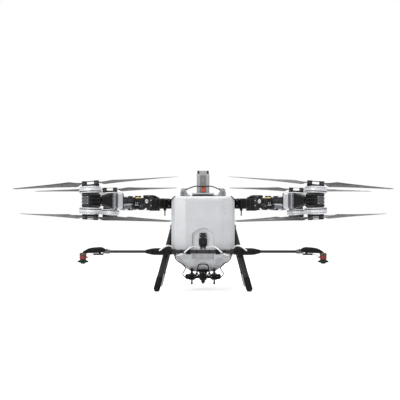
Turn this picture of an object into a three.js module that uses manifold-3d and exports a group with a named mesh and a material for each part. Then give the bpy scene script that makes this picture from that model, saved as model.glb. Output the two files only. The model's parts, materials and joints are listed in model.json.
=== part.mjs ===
// Agricultural spray drone: a coaxial eight-rotor machine with four fold-down arms, a front-loaded
// liquid tank, a spray boom with two spinning-disc atomisers and a battery that lifts out.
// Millimetres, +Z up. The machine faces -Y, its own left side is +X, and it stands on Z = 0.
import * as THREE from "three";
import { mergeVertices } from "three/addons/utils/BufferGeometryUtils.js";
import Module from "manifold-3d";

const wasm = await Module();
wasm.setup();

// ---- driving dimensions -------------------------------------------------------------------------
const GAP = 0.3; // clearance between parts that touch
const DEGREE = Math.PI / 180;
const ROUND = 16; // facets round a large cylinder
const SMALL = 10; // facets round a small one

// arms and rotors
const HINGE = { x: 482, y: 350, z: 725 }; // arm hinge pin, one quadrant
const MOTOR = { x: 850, y: 820 }; // rotor axis, one quadrant
const ARM_LENGTH = Math.hypot(MOTOR.x - HINGE.x, MOTOR.y - HINGE.y);
const ARM_ANGLE = Math.atan2(MOTOR.y - HINGE.y, MOTOR.x - HINGE.x);
const ARM_TUBE_R = 20.5;
const TOE = 2.2 * DEGREE; // upper and lower motors roll opposite ways about the arm
const ROTOR_YAW = { front: { upper: 5, lower: -1 }, rear: { upper: 3, lower: 3 } }; // degrees
const ROTOR_RADIUS = 800;
const BLADE_PIN = 58; // blade pivot from the rotor axis
const BLADE = { chord: 108, rootChord: 30, eye: 19, pinHole: 6.7, rootPitch: 24, washout: 17 };
// heights of the bell, the stator and the hub are measured from the motor mount's middle
const BELL = { radius: 86, bottom: 55, top: 107, wall: 6, roof: 16, chamfer: 12 };
const STATOR = { radius: 74, height: 44, footRadius: 64, footHeight: 16 };
const HUB = { plateTop: 120, capBottom: 140, capTop: 149, width: 44, bridge: 28, pin: 5.8 };
const MOUNT = { length: 124, width: 108, height: 92, corner: 22, window: 24 };
const WEDGE = { halfWidth: 24, base: 60, baseEnd: 20, neck: 27, neckStart: -92 };
const BRACE = { radius: 9, innerX: -104, innerZ: 10, outerZ: 38 };
const ESC = { length: 100, width: 58, height: 127, centre: ARM_LENGTH - 285 };
const KNUCKLE = { radius: 28, halfWidth: 25, pin: 8 };
const EAR = { thickness: 12, radius: 31 };
const ROOT = { top: 28, bottom: -54, width: 76, length: 330, faceX: -38 };
const LATCH = { pivotX: -40, pivotZ: 42, length: 116, width: 34, thickness: 11, barrel: 9, pin: 4 };

// frame rails and battery bay
const RAIL = { x: 235, width: 44, front: -205, rear: 450, bottom: 668, top: 738 };
const BATTERY = { width: 108, front: 195, rear: 430, bottom: 560, top: 998 };
const BAY_WALL = 12;
const BAY_CLEARANCE = 2;
const BAY_TOP = 770;
const BAY_ARM = { half: 22, bottom: 680, top: 730 }; // crossbars that carry the bay between the rails
const EAR_X = 167; // grey grab ears on the bay's front cowl
const EAR_TOP = 845;
const COWL_BOTTOM = 735;
const PANEL = { halfWidth: 95, bottom: 740, top: 808 };

// liquid tank
const TANK = { halfWidth: 258, halfBack: 200, front: -300, back: 130, bottom: 150, top: 770, wall: 6 };
const NICHE = { depth: 46, halfWidth: 88, bottom: 260, shoulder: 462, peak: 506, peakHalf: 30 };
const METER_Y = TANK.front + NICHE.depth - 19.5; // the flow meter backs onto the niche
const TANK_PAD = { half: 30, bottom: 684, top: 724, y: [-110, 70] };
const MOUTH = { y: -120, radius: 80 };
const LID = { radius: 92, thickness: 16, hingeY: -8, axisZ: 783 };

// landing legs
const LEG = { radius: 23, footX: 372, topX: 228, topZ: 578, frontFootY: -330, rearFootY: 300 };
const LEG_TOP_Y = { front: -150, rear: 235 };
const BRACKET_BOTTOM = 618; // underside of the leg brackets on the rails
const SHOE_RADIUS = LEG.radius + 3;
const ANTENNA = { x: 314, y: -140, bottom: 610, top: 690, radius: 4.5, footRadius: 12 };

// spray boom and atomisers
const BOOM = { y: -338, z: 322, radius: 16, tubeRadius: 11, half: 246, socketEnd: 462, tubeEnd: 748 };
const COLLAR = { x: 118, half: 16, radius: 25 };
const LEG_CLAMP = { inner: 262, outer: 328, back: -196, half: 30 };
const NOZZLE = { x: 965, top: 358, armRadius: 15, headRadius: 27, postX: 830 };
const DISC = { radius: 44, top: 260, bottom: 224, teeth: 12, toothDepth: 14 };

// pumps
const PUMP = { y: -128, z: 112, radius: 37, sideX: 92, sideRadius: 30, pin: 9 };

// ---- geometry helpers ---------------------------------------------------------------------------
function solid(geometry) {
  const bare = geometry.clone();
  for (const name of ["normal", "uv"]) bare.deleteAttribute(name);
  const merged = mergeVertices(bare, 1e-3);
  return new wasm.Manifold(
    new wasm.Mesh({
      numProp: 3,
      vertProperties: merged.attributes.position.array,
      triVerts: new Uint32Array(merged.index.array),
    }),
  );
}

function geometryOf(manifold) {
  const mesh = manifold.getMesh();
  const geometry = new THREE.BufferGeometry();
  geometry.setAttribute("position", new THREE.BufferAttribute(mesh.vertProperties, 3));
  geometry.setIndex(new THREE.BufferAttribute(mesh.triVerts, 1));
  return geometry;
}

const join = (...parts) => parts.reduce((sum, part) => sum.add(part));
const cut = (body, ...tools) => tools.reduce((rest, tool) => rest.subtract(tool), body);

// Two distances on one side of the middle (side is 1 or -1), the lower coordinate first.
const pair = (side, near, far) => [side * near, side * far].sort((p, q) => p - q);

// A box between two opposite corners.
function block(low, high) {
  const size = high.map((value, i) => value - low[i]);
  const middle = high.map((value, i) => (value + low[i]) / 2);
  return solid(new THREE.BoxGeometry(...size).translate(...middle));
}

// A cylinder or cone between two points.
function rod(from, to, radius, endRadius = radius, sides = SMALL) {
  const a = new THREE.Vector3(...from);
  const b = new THREE.Vector3(...to);
  const geometry = new THREE.CylinderGeometry(endRadius, radius, a.distanceTo(b), sides);
  const turn = new THREE.Quaternion().setFromUnitVectors(
    new THREE.Vector3(0, 1, 0),
    b.clone().sub(a).normalize(),
  );
  const middle = a.clone().add(b).multiplyScalar(0.5);
  geometry.applyQuaternion(turn);
  geometry.translate(middle.x, middle.y, middle.z);
  return solid(geometry);
}

function outline(points) {
  return new THREE.Shape(points.map(([x, y]) => new THREE.Vector2(x, y)));
}

// An outline in the XY plane, extruded from z = low to z = high.
function slab(points, low, high) {
  const geometry = new THREE.ExtrudeGeometry(outline(points), {
    depth: high - low,
    bevelEnabled: false,
  });
  return solid(geometry.translate(0, 0, low));
}

// An outline in the XZ plane, extruded from y = low to y = high.
function wall(points, low, high) {
  const geometry = new THREE.ExtrudeGeometry(outline(points), {
    depth: high - low,
    bevelEnabled: false,
  });
  geometry.rotateX(Math.PI / 2);
  return solid(geometry.translate(0, high, 0));
}

// An outline in the YZ plane, extruded from x = low to x = high.
function profile(points, low, high) {
  const geometry = new THREE.ExtrudeGeometry(outline(points), {
    depth: high - low,
    bevelEnabled: false,
  });
  geometry.rotateX(Math.PI / 2);
  geometry.rotateZ(Math.PI / 2);
  return solid(geometry.translate(low, 0, 0));
}

// A rectangle with cut corners, centred on (x, y).
function cutRectangle(width, height, corner, x = 0, y = 0) {
  const w = width / 2;
  const h = height / 2;
  return [
    [x - w + corner, y - h],
    [x + w - corner, y - h],
    [x + w, y - h + corner],
    [x + w, y + h - corner],
    [x + w - corner, y + h],
    [x - w + corner, y + h],
    [x - w, y + h - corner],
    [x - w, y - h + corner],
  ];
}

function mirrored(rightHalf) {
  const leftHalf = rightHalf.map(([x, y]) => [-x, y]).reverse();
  return [...rightHalf, ...leftHalf];
}

function turned(points, sides = ROUND) {
  const shape = points.map(([r, z]) => new THREE.Vector2(r, z));
  return solid(new THREE.LatheGeometry(shape, sides).rotateX(Math.PI / 2));
}

// A round hose or wire along a smooth curve through the given points.
function hose(points, radius, steps, sides = 8) {
  const path = new THREE.CatmullRomCurve3(points.map((p) => new THREE.Vector3(...p)));
  const ring = [];
  for (let i = 0; i < sides; i += 1) {
    const angle = (2 * Math.PI * i) / sides;
    ring.push([radius * Math.cos(angle), radius * Math.sin(angle)]);
  }
  const options = { extrudePath: path, steps, bevelEnabled: false };
  return solid(new THREE.ExtrudeGeometry(outline(ring), options));
}

// A closed skin over a row of sections, each a ring of points with the same count.
function loft(sections) {
  const count = sections[0].length;
  const positions = sections.flat(2);
  const index = [];
  for (let s = 0; s + 1 < sections.length; s += 1) {
    for (let i = 0; i < count; i += 1) {
      const a = s * count + i;
      const b = s * count + ((i + 1) % count);
      index.push(a, b, a + count, b, b + count, a + count);
    }
  }
  const last = (sections.length - 1) * count;
  for (let i = 1; i + 1 < count; i += 1) {
    index.push(0, i + 1, i, last, last + i, last + i + 1);
  }
  const geometry = new THREE.BufferGeometry();
  geometry.setAttribute("position", new THREE.Float32BufferAttribute(positions, 3));
  geometry.setIndex(index);
  return solid(geometry);
}

const FINISHES = {
  carbon: [0x1b1c1e, 0.45, 0.1],
  black: [0x161719, 0.6, 0.05],
  blade: [0x2f3235, 0.5, 0.0],
  grey: [0x85898d, 0.45, 0.3],
  bell: [0xb4b7ba, 0.4, 0.6],
  tank: [0xe2e4e6, 0.35, 0.0],
  hose: [0xe9ebec, 0.4, 0.0],
  amber: [0x8a4a28, 0.45, 0.1],
};

function part(name, shape, finish) {
  const [color, roughness, metalness] = FINISHES[finish];
  const material = new THREE.MeshStandardMaterial({ color, roughness, metalness });
  const mesh = new THREE.Mesh(geometryOf(shape), material);
  mesh.name = name;
  return mesh;
}

// ---- rotor blade --------------------------------------------------------------------------------
// The blade lies along +X from its pivot. Its chord grows fast past the root, then tapers to the tip,
// and its pitch washes out from 24 degrees to 7.
function bladeShape(spin) {
  const stations = 8;
  const widest = 0.16; // where the chord is largest, as a share of the span
  const span = ROTOR_RADIUS - BLADE_PIN;
  const start = BLADE.eye * 0.6;
  const growth = BLADE.chord - BLADE.rootChord;
  const sections = [];
  for (let s = 0; s < stations; s += 1) {
    const t = (s / (stations - 1)) ** 1.25;
    const swell = Math.min(1, t / widest);
    const taper = 1 - 0.7 * Math.max(0, t - widest) ** 0.85;
    const chord = (BLADE.rootChord + growth * swell ** 0.8) * taper;
    const thickness = 13 * (1 - t) ** 0.8 + 2.2;
    const pitch = (BLADE.rootPitch - BLADE.washout * t ** 0.6) * DEGREE * swell;
    const x = start + t * (span - start);
    const ring = [
      [0.5, 0],
      [0.28, 0.44],
      [-0.14, 0.42],
      [-0.5, 0.02],
      [-0.14, -0.3],
      [0.3, -0.38],
    ].map(([c, h]) => {
      const y = c * chord - 0.06 * chord * swell;
      const z = h * thickness;
      const forward = y * Math.cos(pitch) - z * Math.sin(pitch);
      return [x, spin * forward, y * Math.sin(pitch) + z * Math.cos(pitch)];
    });
    sections.push(spin > 0 ? ring : ring.toReversed());
  }
  const grip = (HUB.capBottom - HUB.plateTop) / 2 - GAP;
  const eye = rod([0, 0, -grip], [0, 0, grip], BLADE.eye);
  const pinHole = rod([0, 0, -grip - 1], [0, 0, grip + 1], BLADE.pinHole);
  return cut(join(eye, loft(sections)), pinHole);
}

// ---- motor bell with the folding blade hub on it ------------------------------------------------
function bellShape() {
  const { radius, bottom, top, wall: skin, roof, chamfer } = BELL;
  const { plateTop, capBottom, capTop, width, bridge, pin } = HUB;
  const shell = turned([
    [0, top - roof],
    [radius - skin, top - roof],
    [radius - skin, bottom],
    [radius, bottom],
    [radius, top - chamfer],
    [radius - chamfer, top],
    [0, top],
  ]);
  let hub = join(
    shell,
    block([-BLADE_PIN, -width / 2, top - 2], [BLADE_PIN, width / 2, plateTop]),
    block([-BLADE_PIN, -bridge / 2, capBottom + 1], [BLADE_PIN, bridge / 2, capBottom + 5]),
  );
  for (const x of [-BLADE_PIN, BLADE_PIN]) {
    hub = join(
      hub,
      rod([x, 0, top - 2], [x, 0, plateTop], width / 2),
      rod([x, 0, plateTop - 1], [x, 0, capBottom + 1], pin),
      rod([x, 0, capBottom], [x, 0, capTop], width / 2, width / 2 - 3),
    );
  }
  return hub;
}

// ---- motor mount: two stators on a block, with a wedge that takes the arm tube -------------------
// Local X runs outwards along the arm, and the origin is the middle of the motor stack.
function mountShape(toeSign) {
  const { length, width, height, corner, window } = MOUNT;
  const body = slab(cutRectangle(length, width, corner), -height / 2, height / 2);
  const opening = profile(cutRectangle(width - 56, height - 46, 10), length / 2 - window, length);
  const stators = [1, -1].map((side) => {
    const { radius, footRadius, footHeight } = STATOR;
    const coil = new THREE.CylinderGeometry(radius, radius, STATOR.height, ROUND);
    const foot = new THREE.CylinderGeometry(footRadius, footRadius, footHeight, ROUND);
    coil.rotateX(Math.PI / 2).translate(0, 0, side * (BELL.bottom + 8));
    foot.rotateX(Math.PI / 2).translate(0, 0, side * (height / 2));
    coil.rotateX(side * toeSign * TOE);
    foot.rotateX(side * toeSign * TOE);
    return join(solid(coil), solid(foot));
  });
  const { halfWidth, base, baseEnd, neck, neckStart } = WEDGE;
  const start = ESC.centre + ESC.length / 2 + 1 - ARM_LENGTH;
  const upperEdge = [
    [start, base],
    [start + baseEnd, base],
    [neckStart, neck],
    [-length / 2 + 6, neck],
  ];
  const lowerEdge = upperEdge.map(([x, z]) => [x, -z]).reverse();
  const wedge = wall([...upperEdge, ...lowerEdge], -halfWidth, halfWidth);
  const braces = [-1, 1].map((side) => {
    const { radius, innerX, innerZ, outerZ } = BRACE;
    return rod([innerX, 0, side * innerZ], [-length / 2 + 8, 0, side * outerZ], radius, radius, 6);
  });
  const bore = ARM_TUBE_R + GAP;
  const socket = rod([start - 1, 0, 0], [-20, 0, 0], bore, bore, 12);
  return cut(join(body, ...stators, wedge, ...braces), opening, socket);
}

// ---- speed controller: a finned aluminium box clamped round the arm tube -------------------------
function escShape() {
  const { length, width, height } = ESC;
  const fins = 4;
  const plainEnd = 12;
  const slotDepth = 7;
  const slotHalf = 44;
  const pitch = (length - 2 * plainEnd) / fins;
  let body = profile(cutRectangle(width, height, 12), -length / 2, length / 2);
  for (let i = 0; i < fins; i += 1) {
    const x = -length / 2 + plainEnd + (i + 0.25) * pitch;
    for (const side of [-1, 1]) {
      const [low, high] = pair(side, width / 2 - slotDepth, width / 2 + 1);
      body = cut(body, block([x, low, -slotHalf], [x + pitch / 2, high, slotHalf]));
    }
  }
  const bore = rod([-length, 0, 0], [length, 0, 0], ARM_TUBE_R + GAP, ARM_TUBE_R + GAP, 12);
  return cut(body, bore);
}

// ---- arm tube with its hinge knuckle -------------------------------------------------------------
function armShape() {
  const { radius, halfWidth, pin } = KNUCKLE;
  const tube = rod([60, 0, 0], [ARM_LENGTH - 24, 0, 0], ARM_TUBE_R, ARM_TUBE_R, 12);
  const eye = rod([0, -halfWidth, 0], [0, halfWidth, 0], radius, radius, ROUND);
  const neck = block([8, -halfWidth, -24], [46, halfWidth, 26]);
  const collar = profile(cutRectangle(68, 66, 14), 44, 88);
  const clamp = profile(cutRectangle(56, 58, 12, 0, -12), 88, 128);
  const pinHole = rod([0, -halfWidth - 1, 0], [0, halfWidth + 1, 0], pin + 0.9);
  return cut(join(tube, eye, neck, collar, clamp), pinHole);
}

// ---- arm lock lever on top of each root ----------------------------------------------------------
function latchShape() {
  const { length, width, thickness, barrel, pin } = LATCH;
  const lever = wall(
    [
      [2, -3],
      [6, 6],
      [-length * 0.4, thickness - 2],
      [-length, 2],
      [-length, -3],
      [-length * 0.5, -4],
    ],
    -width / 2,
    width / 2,
  );
  const bore = rod([0, -width, 0], [0, width, 0], pin + 0.9);
  return cut(join(rod([0, -width / 2, 0], [0, width / 2, 0], barrel), lever), bore);
}

// ---- one side of the frame: the rail with its front and rear arm roots ---------------------------
function rootShape() {
  const { thickness, radius } = EAR;
  const { halfWidth, pin } = KNUCKLE;
  const { faceX, top, bottom, width, length } = ROOT;
  const { pivotX, pivotZ } = LATCH;
  const inner = halfWidth + GAP;
  const outer = inner + thickness;
  const section = cutRectangle(width, top - bottom, 14, 0, (top + bottom) / 2);
  const beam = profile(section, -length, faceX);
  let root = join(beam, block([-150, -22, bottom - 16], [-60, 22, bottom + 4]));
  for (const side of [-1, 1]) {
    const [low, high] = pair(side, inner, outer);
    const [lugLow, lugHigh] = pair(side, LATCH.width / 2 + 1, LATCH.width / 2 + 9);
    root = join(
      root,
      rod([0, low, 0], [0, high, 0], radius, radius, ROUND),
      block([faceX - 8, low, -radius + 3], [0, high, top - 1]),
      rod([0, side * (outer - 1), 0], [0, side * (outer + 7), 0], 17, 15, 12),
      rod([pivotX, lugLow, pivotZ], [pivotX, lugHigh, pivotZ], LATCH.barrel),
      block([pivotX - 34, lugLow, top - 8], [pivotX + LATCH.barrel, lugHigh, pivotZ + 2]),
    );
  }
  const hingePin = rod([0, -outer, 0], [0, outer, 0], pin);
  const latchEnd = LATCH.width / 2 + 4;
  const latchPin = rod([pivotX, -latchEnd, pivotZ], [pivotX, latchEnd, pivotZ], LATCH.pin);
  return join(root, hingePin, latchPin);
}

function rootPlaced(side, end) {
  const geometry = geometryOf(rootShape());
  geometry.rotateZ(Math.atan2(end * Math.sin(ARM_ANGLE), side * Math.cos(ARM_ANGLE)));
  geometry.translate(side * HINGE.x, end * HINGE.y, HINGE.z);
  return solid(geometry);
}

function frameShape(side) {
  const innerX = RAIL.x - RAIL.width / 2;
  const [low, high] = pair(side, innerX, RAIL.x + RAIL.width / 2);
  const rail = block([low, RAIL.front, RAIL.bottom], [high, RAIL.rear, RAIL.top]);
  // nothing of the roots may reach past the rail's inner face
  const [clearLow, clearHigh] = pair(side, innerX - 200, innerX);
  let frame = cut(
    join(rail, rootPlaced(side, -1), rootPlaced(side, 1)),
    block([clearLow, -400, 500], [clearHigh, 500, 900]),
  );
  for (const y of [LEG_TOP_Y.front, LEG_TOP_Y.rear]) {
    const bracket = block([low - 2, y - 34, BRACKET_BOTTOM], [high + 2, y + 34, RAIL.bottom + 4]);
    frame = join(frame, bracket);
  }
  const [padLow, padHigh] = pair(side, TANK.halfBack + GAP, innerX + 2);
  for (const y of TANK_PAD.y) {
    const { half, bottom, top } = TANK_PAD;
    frame = join(frame, block([padLow, y - half, bottom], [padHigh, y + half, top]));
  }
  const antenna = [side * ANTENNA.x, ANTENNA.y];
  const { bottom, top, radius, footRadius } = ANTENNA;
  return join(
    frame,
    rod([...antenna, bottom], [...antenna, top], radius, radius, 8),
    rod([...antenna, top - 35], [...antenna, top], footRadius, footRadius, 8),
  );
}

// ---- landing legs --------------------------------------------------------------------------------
function legLine(side, end) {
  const footY = end < 0 ? LEG.frontFootY : LEG.rearFootY;
  const topY = end < 0 ? LEG_TOP_Y.front : LEG_TOP_Y.rear;
  const top = new THREE.Vector3(side * LEG.topX, topY, LEG.topZ);
  const foot = new THREE.Vector3(side * LEG.footX, footY, LEG.radius);
  return { foot, top };
}

function legShape(side, end) {
  const { foot, top } = legLine(side, end);
  const at = (t) => foot.clone().lerp(top, t).toArray();
  const tube = rod(at(0.02), at(1), LEG.radius, LEG.radius, 12);
  const shoe = rod(at(0), at(0.16), SHOE_RADIUS, SHOE_RADIUS, 12);
  const ball = solid(new THREE.SphereGeometry(SHOE_RADIUS, 12, 6).translate(...foot.toArray()));
  const socket = block(
    [top.x - 26, top.y - 30, LEG.topZ - 34],
    [top.x + 26, top.y + 30, BRACKET_BOTTOM - GAP],
  );
  const ground = block([-900, -900, -100], [900, 900, 0]);
  return cut(join(tube, shoe, ball, socket), ground);
}

// ---- liquid tank ---------------------------------------------------------------------------------
function tankBlock() {
  const { halfWidth: w, halfBack: b, front, back, bottom, top } = TANK;
  const frontView = mirrored([
    [96, bottom],
    [165, 200],
    [w - 12, 300],
    [w, 322],
    [w, top - 46],
    [w - 8, top - 22],
    [w - 28, top - 6],
    [w - 50, top],
  ]);
  const sideView = [
    [front, 300],
    [front + 80, 205],
    [front + 190, bottom],
    [back - 110, bottom],
    [back, 245],
    [back, top - 12],
    [back - 12, top],
    [front + 30, top],
    [front + 6, top - 16],
    [front, top - 40],
  ];
  const plan = mirrored([
    [140, front],
    [w - 26, front + 18],
    [w - 6, front + 30],
    [w, front + 44],
    [w, front + 54],
    [b, front + 70],
    [b, back],
  ]);
  return wall(frontView, front - 5, back + 5)
    .intersect(profile(sideView, -w - 5, w + 5))
    .intersect(slab(plan, bottom - 5, top + 5));
}

// The inlet niche in the front: a house-shaped pocket that the flow meter sits in.
function niche(grow) {
  const { depth, halfWidth, bottom, shoulder, peak, peakHalf } = NICHE;
  const outlineOfHouse = mirrored([
    [halfWidth + grow, bottom],
    [halfWidth + grow, shoulder],
    [peakHalf + grow * 0.4, peak + grow],
  ]);
  return wall(outlineOfHouse, TANK.front - 5, TANK.front + depth + grow);
}

function tankShape() {
  const outer = tankBlock();
  const { halfWidth, front, back, bottom, top, wall: skin } = TANK;
  const middle = [0, (front + back) / 2, (bottom + top) / 2];
  const half = [halfWidth, (back - front) / 2, (top - bottom) / 2];
  const inner = geometryOf(outer);
  inner.translate(...middle.map((value) => -value));
  inner.scale(...half.map((value) => (value - skin) / value));
  inner.translate(...middle);
  const cavity = cut(solid(inner), niche(skin));
  const mouth = rod([0, MOUTH.y, top - 40], [0, MOUTH.y, top + 20], MOUTH.radius, MOUTH.radius, ROUND);
  let tank = cut(outer, niche(0), cavity, mouth);
  for (const side of [-1, 1]) {
    const [low, high] = pair(side, 24, 36);
    tank = join(
      tank,
      block([low, LID.hingeY - 9, top - 4], [high, LID.hingeY + 9, LID.axisZ]),
      rod([low, LID.hingeY, LID.axisZ], [high, LID.hingeY, LID.axisZ], 9),
    );
  }
  return join(tank, rod([-30, LID.hingeY, LID.axisZ], [30, LID.hingeY, LID.axisZ], 4));
}

function lidShape() {
  const { radius, thickness, hingeY, axisZ } = LID;
  const floor = TANK.top + GAP;
  const cap = turned([
    [0, floor],
    [radius - 3, floor],
    [radius, floor + 3],
    [radius, floor + thickness - 6],
    [radius - 8, floor + thickness],
    [radius - 26, floor + thickness],
    [radius - 30, floor + thickness - 4],
    [0, floor + thickness - 4],
  ]);
  const geometry = geometryOf(cap).translate(0, MOUTH.y, 0);
  const knuckle = rod([-22, hingeY, axisZ], [22, hingeY, axisZ], 9);
  const strap = block([-22, MOUTH.y + radius - 12, floor + 4], [22, hingeY, axisZ + 3]);
  const bore = rod([-30, hingeY, axisZ], [30, hingeY, axisZ], 4.9);
  return cut(join(solid(geometry), strap, knuckle), bore);
}

// ---- battery and its bay -------------------------------------------------------------------------
function batteryShape() {
  const { width, front, rear, bottom, top } = BATTERY;
  const depth = rear - front;
  const middle = (front + rear) / 2;
  const core = slab(cutRectangle(width, depth, 10, 0, middle), bottom, top - 26);
  const crown = slab(cutRectangle(width - 10, depth - 14, 12, 0, middle), top - 27, top);
  const grip = block([-width, middle - 62, top - 48], [width, middle + 62, top - 18]);
  const pocket = block([-16, middle - 62, top - 49], [16, middle + 62, top - 17]);
  const handle = cut(grip, pocket);
  return cut(join(core, crown), handle);
}

function bayShape() {
  const { width, front, rear, bottom } = BATTERY;
  const clear = BAY_CLEARANCE;
  const halfX = width / 2 + clear + BAY_WALL;
  const lowY = front - clear - BAY_WALL;
  const highY = rear + clear + BAY_WALL;
  const box = block([-halfX, lowY, bottom - clear - BAY_WALL], [halfX, highY, BAY_TOP]);
  const hole = block(
    [-width / 2 - clear, front - clear, bottom - clear],
    [width / 2 + clear, rear + clear, BAY_TOP + 1],
  );
  const railFace = RAIL.x - RAIL.width / 2 - GAP;
  const { half } = BAY_ARM;
  const crossbars = [lowY + half, highY - half].map((y) =>
    block([-railFace, y - half, BAY_ARM.bottom], [railFace, y + half, BAY_ARM.top]),
  );
  const cowl = wall(
    mirrored([
      [EAR_X - 30, COWL_BOTTOM],
      [EAR_X + 22, COWL_BOTTOM],
      [EAR_X + 24, EAR_TOP - 26],
      [EAR_X + 12, EAR_TOP],
      [EAR_X - 14, EAR_TOP],
      [EAR_X - 26, EAR_TOP - 30],
      [EAR_X - 44, EAR_TOP - 42],
    ]),
    lowY - 32,
    lowY + 2,
  );
  const panel = block(
    [-PANEL.halfWidth, lowY - 40, PANEL.bottom],
    [PANEL.halfWidth, lowY - 30, PANEL.top],
  );
  const strap = hose(
    [
      [-EAR_X + 16, lowY - 16, EAR_TOP - 12],
      [-104, lowY - 18, 852],
      [-60, lowY - 18, 864],
      [0, lowY - 18, 861],
      [60, lowY - 18, 864],
      [104, lowY - 18, 852],
      [EAR_X - 16, lowY - 16, EAR_TOP - 12],
    ],
    4.5,
    16,
  );
  return join(cut(join(box, ...crossbars, cowl, panel), hole), strap);
}

// ---- spray boom ----------------------------------------------------------------------------------
function boomCentreShape() {
  const { y, z, radius, half } = BOOM;
  let boom = rod([-half, y, z], [half, y, z], radius, radius, 12);
  for (const side of [-1, 1]) {
    const [low, high] = pair(side, COLLAR.x - COLLAR.half, COLLAR.x + COLLAR.half);
    boom = join(boom, rod([low, y, z], [high, y, z], COLLAR.radius, COLLAR.radius, 12));
  }
  return boom;
}

function boomTubeShape(side) {
  const { y, z, half, socketEnd, tubeEnd, tubeRadius } = BOOM;
  const at = (x) => [side * x, y, z];
  let tube = join(
    rod(at(half + GAP), at(half + 34), 25, 25, 12),
    rod(at(half + 33), at(socketEnd - 60), 28, 27, 12),
    rod(at(socketEnd - 61), at(socketEnd), 27, 13, 12),
    rod(at(socketEnd - 1), at(tubeEnd), tubeRadius, tubeRadius, 12),
  );
  const { inner, outer, back, half: clampHalf } = LEG_CLAMP;
  const [low, high] = pair(side, inner, outer);
  tube = join(tube, block([low, y, z - clampHalf], [high, back, z + clampHalf]));
  const { foot, top } = legLine(side, -1);
  return cut(tube, rod(foot.toArray(), top.toArray(), LEG.radius + GAP, LEG.radius + GAP, 12));
}

function nozzleShape(side) {
  const { y, z, tubeEnd } = BOOM;
  const { x, top, armRadius, headRadius, postX } = NOZZLE;
  const clamp = rod([side * (tubeEnd + GAP), y, z], [side * (tubeEnd + 50), y, z], 17, 15, 12);
  const bend = hose(
    [
      [side * (tubeEnd + 40), y, z + 2],
      [side * (tubeEnd + 74), y, z + 20],
      [side * (tubeEnd + 110), y, top - 12],
      [side * (tubeEnd + 160), y, top - 18],
      [side * (x - 26), y, z + 14],
      [side * x, y, z - 12],
    ],
    armRadius,
    9,
  );
  const head = rod([side * x, y, DISC.top + 0.5], [side * x, y, z - 2], headRadius, 25, 12);
  const [low, high] = pair(side, postX - 30, postX + 50);
  const shoe = block([low, y - 12, z - 28], [high, y + 12, z - 14]);
  const post = rod([side * postX, y, z - 26], [side * postX, y, z + 24], 10);
  return join(clamp, bend, head, shoe, post);
}

// The atomiser disc: a toothed cup that flings the liquid outwards.
function discShape() {
  const { radius, top, bottom, teeth, toothDepth } = DISC;
  const points = [];
  for (let i = 0; i < teeth; i += 1) {
    for (const [step, reach] of [[0, radius], [0.5, radius - toothDepth]]) {
      const angle = (2 * Math.PI * (i + step)) / teeth;
      points.push([reach * Math.cos(angle), reach * Math.sin(angle)]);
    }
  }
  const rim = slab(points, bottom + 14, top - 12);
  const cup = rod([0, 0, bottom], [0, 0, top], 22, 27, 12);
  return join(rim, cup);
}

// ---- pumps under the tank ------------------------------------------------------------------------
function pumpShape() {
  const { y, z, radius, sideX, sideRadius, pin } = PUMP;
  const roof = TANK.bottom - GAP;
  let pump = join(
    rod([0, y - 46, z], [0, y + 40, z], radius, radius, 12),
    rod([0, y - 54, z], [0, y - 44, z], 28, 30, 12),
    rod([0, y - 6, z], [0, y - 6, roof], 30, 30, 12),
    rod([0, y - 20, z - 20], [0, y - 20, z - 60], 22, 6),
    rod([-sideX - 46, y, z], [sideX + 46, y, z], 17, 17, 8),
  );
  for (const side of [-1, 1]) {
    const x = side * sideX;
    pump = join(
      pump,
      rod([x, y - 40, z], [x, y + 34, z], sideRadius, sideRadius, 12),
      rod([x, y, z - 66], [x, y, roof - 4], pin, pin, 6),
      rod([side * (sideX + 26), y - 26, z], [side * (sideX + 54), y - 26, z], 21, 17),
      rod([side * 44, y - 20, z + 4], [side * 56, y - 20, z + 30], 12, 10, 6),
    );
  }
  return pump;
}

function wiringShape() {
  const right = [
    [226, -332, 300],
    [222, -326, 268],
    [196, -316, 238],
    [168, -290, 222],
    [142, -246, 190],
    [150, -210, 166],
    [166, -182, 132],
    [128, -173, 96],
    [70, -173, 92],
    [50, -186, 150],
    [40, -222, 200],
    [22, -244, 216],
  ];
  const left = right.map(([x, y, z]) => [-x, y, z]);
  return hose([...left, ...right.toReversed()], 3.2, 40);
}

// ---- flow meter with the two hoses that feed the boom ---------------------------------------------
function hosesShape() {
  let set = join(
    slab(cutRectangle(56, 34, 6, 0, METER_Y), 392, 470),
    slab(cutRectangle(66, 38, 9, 0, METER_Y), 366, 424),
    slab(cutRectangle(48, 28, 6, 0, METER_Y), 352, 372),
  );
  for (const side of [-1, 1]) {
    // over the boom, down its front, back under it and up again over the leg clamp
    const route = [
      [14, METER_Y, 362],
      [40, METER_Y - 14, 352],
      [84, -330, 360],
      [116, -370, 346],
      [148, -374, 318],
      [178, -362, 300],
      [206, -334, 294],
      [228, -308, 308],
      [240, -302, 338],
      [258, -318, 362],
      [286, -352, 370],
      [318, -372, 356],
      [350, -375, 330],
    ].map(([x, y, z]) => [side * x, y, z]);
    set = join(set, hose(route, 6, 26));
  }
  return set;
}

// ---- assembly ------------------------------------------------------------------------------------
const drone = new THREE.Group();

function addRotor(holder, prefix, level, spin, yaw) {
  const rotor = new THREE.Group();
  rotor.rotation.z = yaw * DEGREE;
  rotor.add(part(`${prefix}_${level}_motor_bell`, bellShape(), "bell"));
  ["a", "b"].forEach((letter, i) => {
    const blade = part(`${prefix}_${level}_blade_${letter}`, bladeShape(spin), "blade");
    blade.position.set(i ? -BLADE_PIN : BLADE_PIN, 0, (HUB.plateTop + HUB.capBottom) / 2);
    blade.rotation.z = i * Math.PI;
    rotor.add(blade);
  });
  holder.add(rotor);
}

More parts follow.
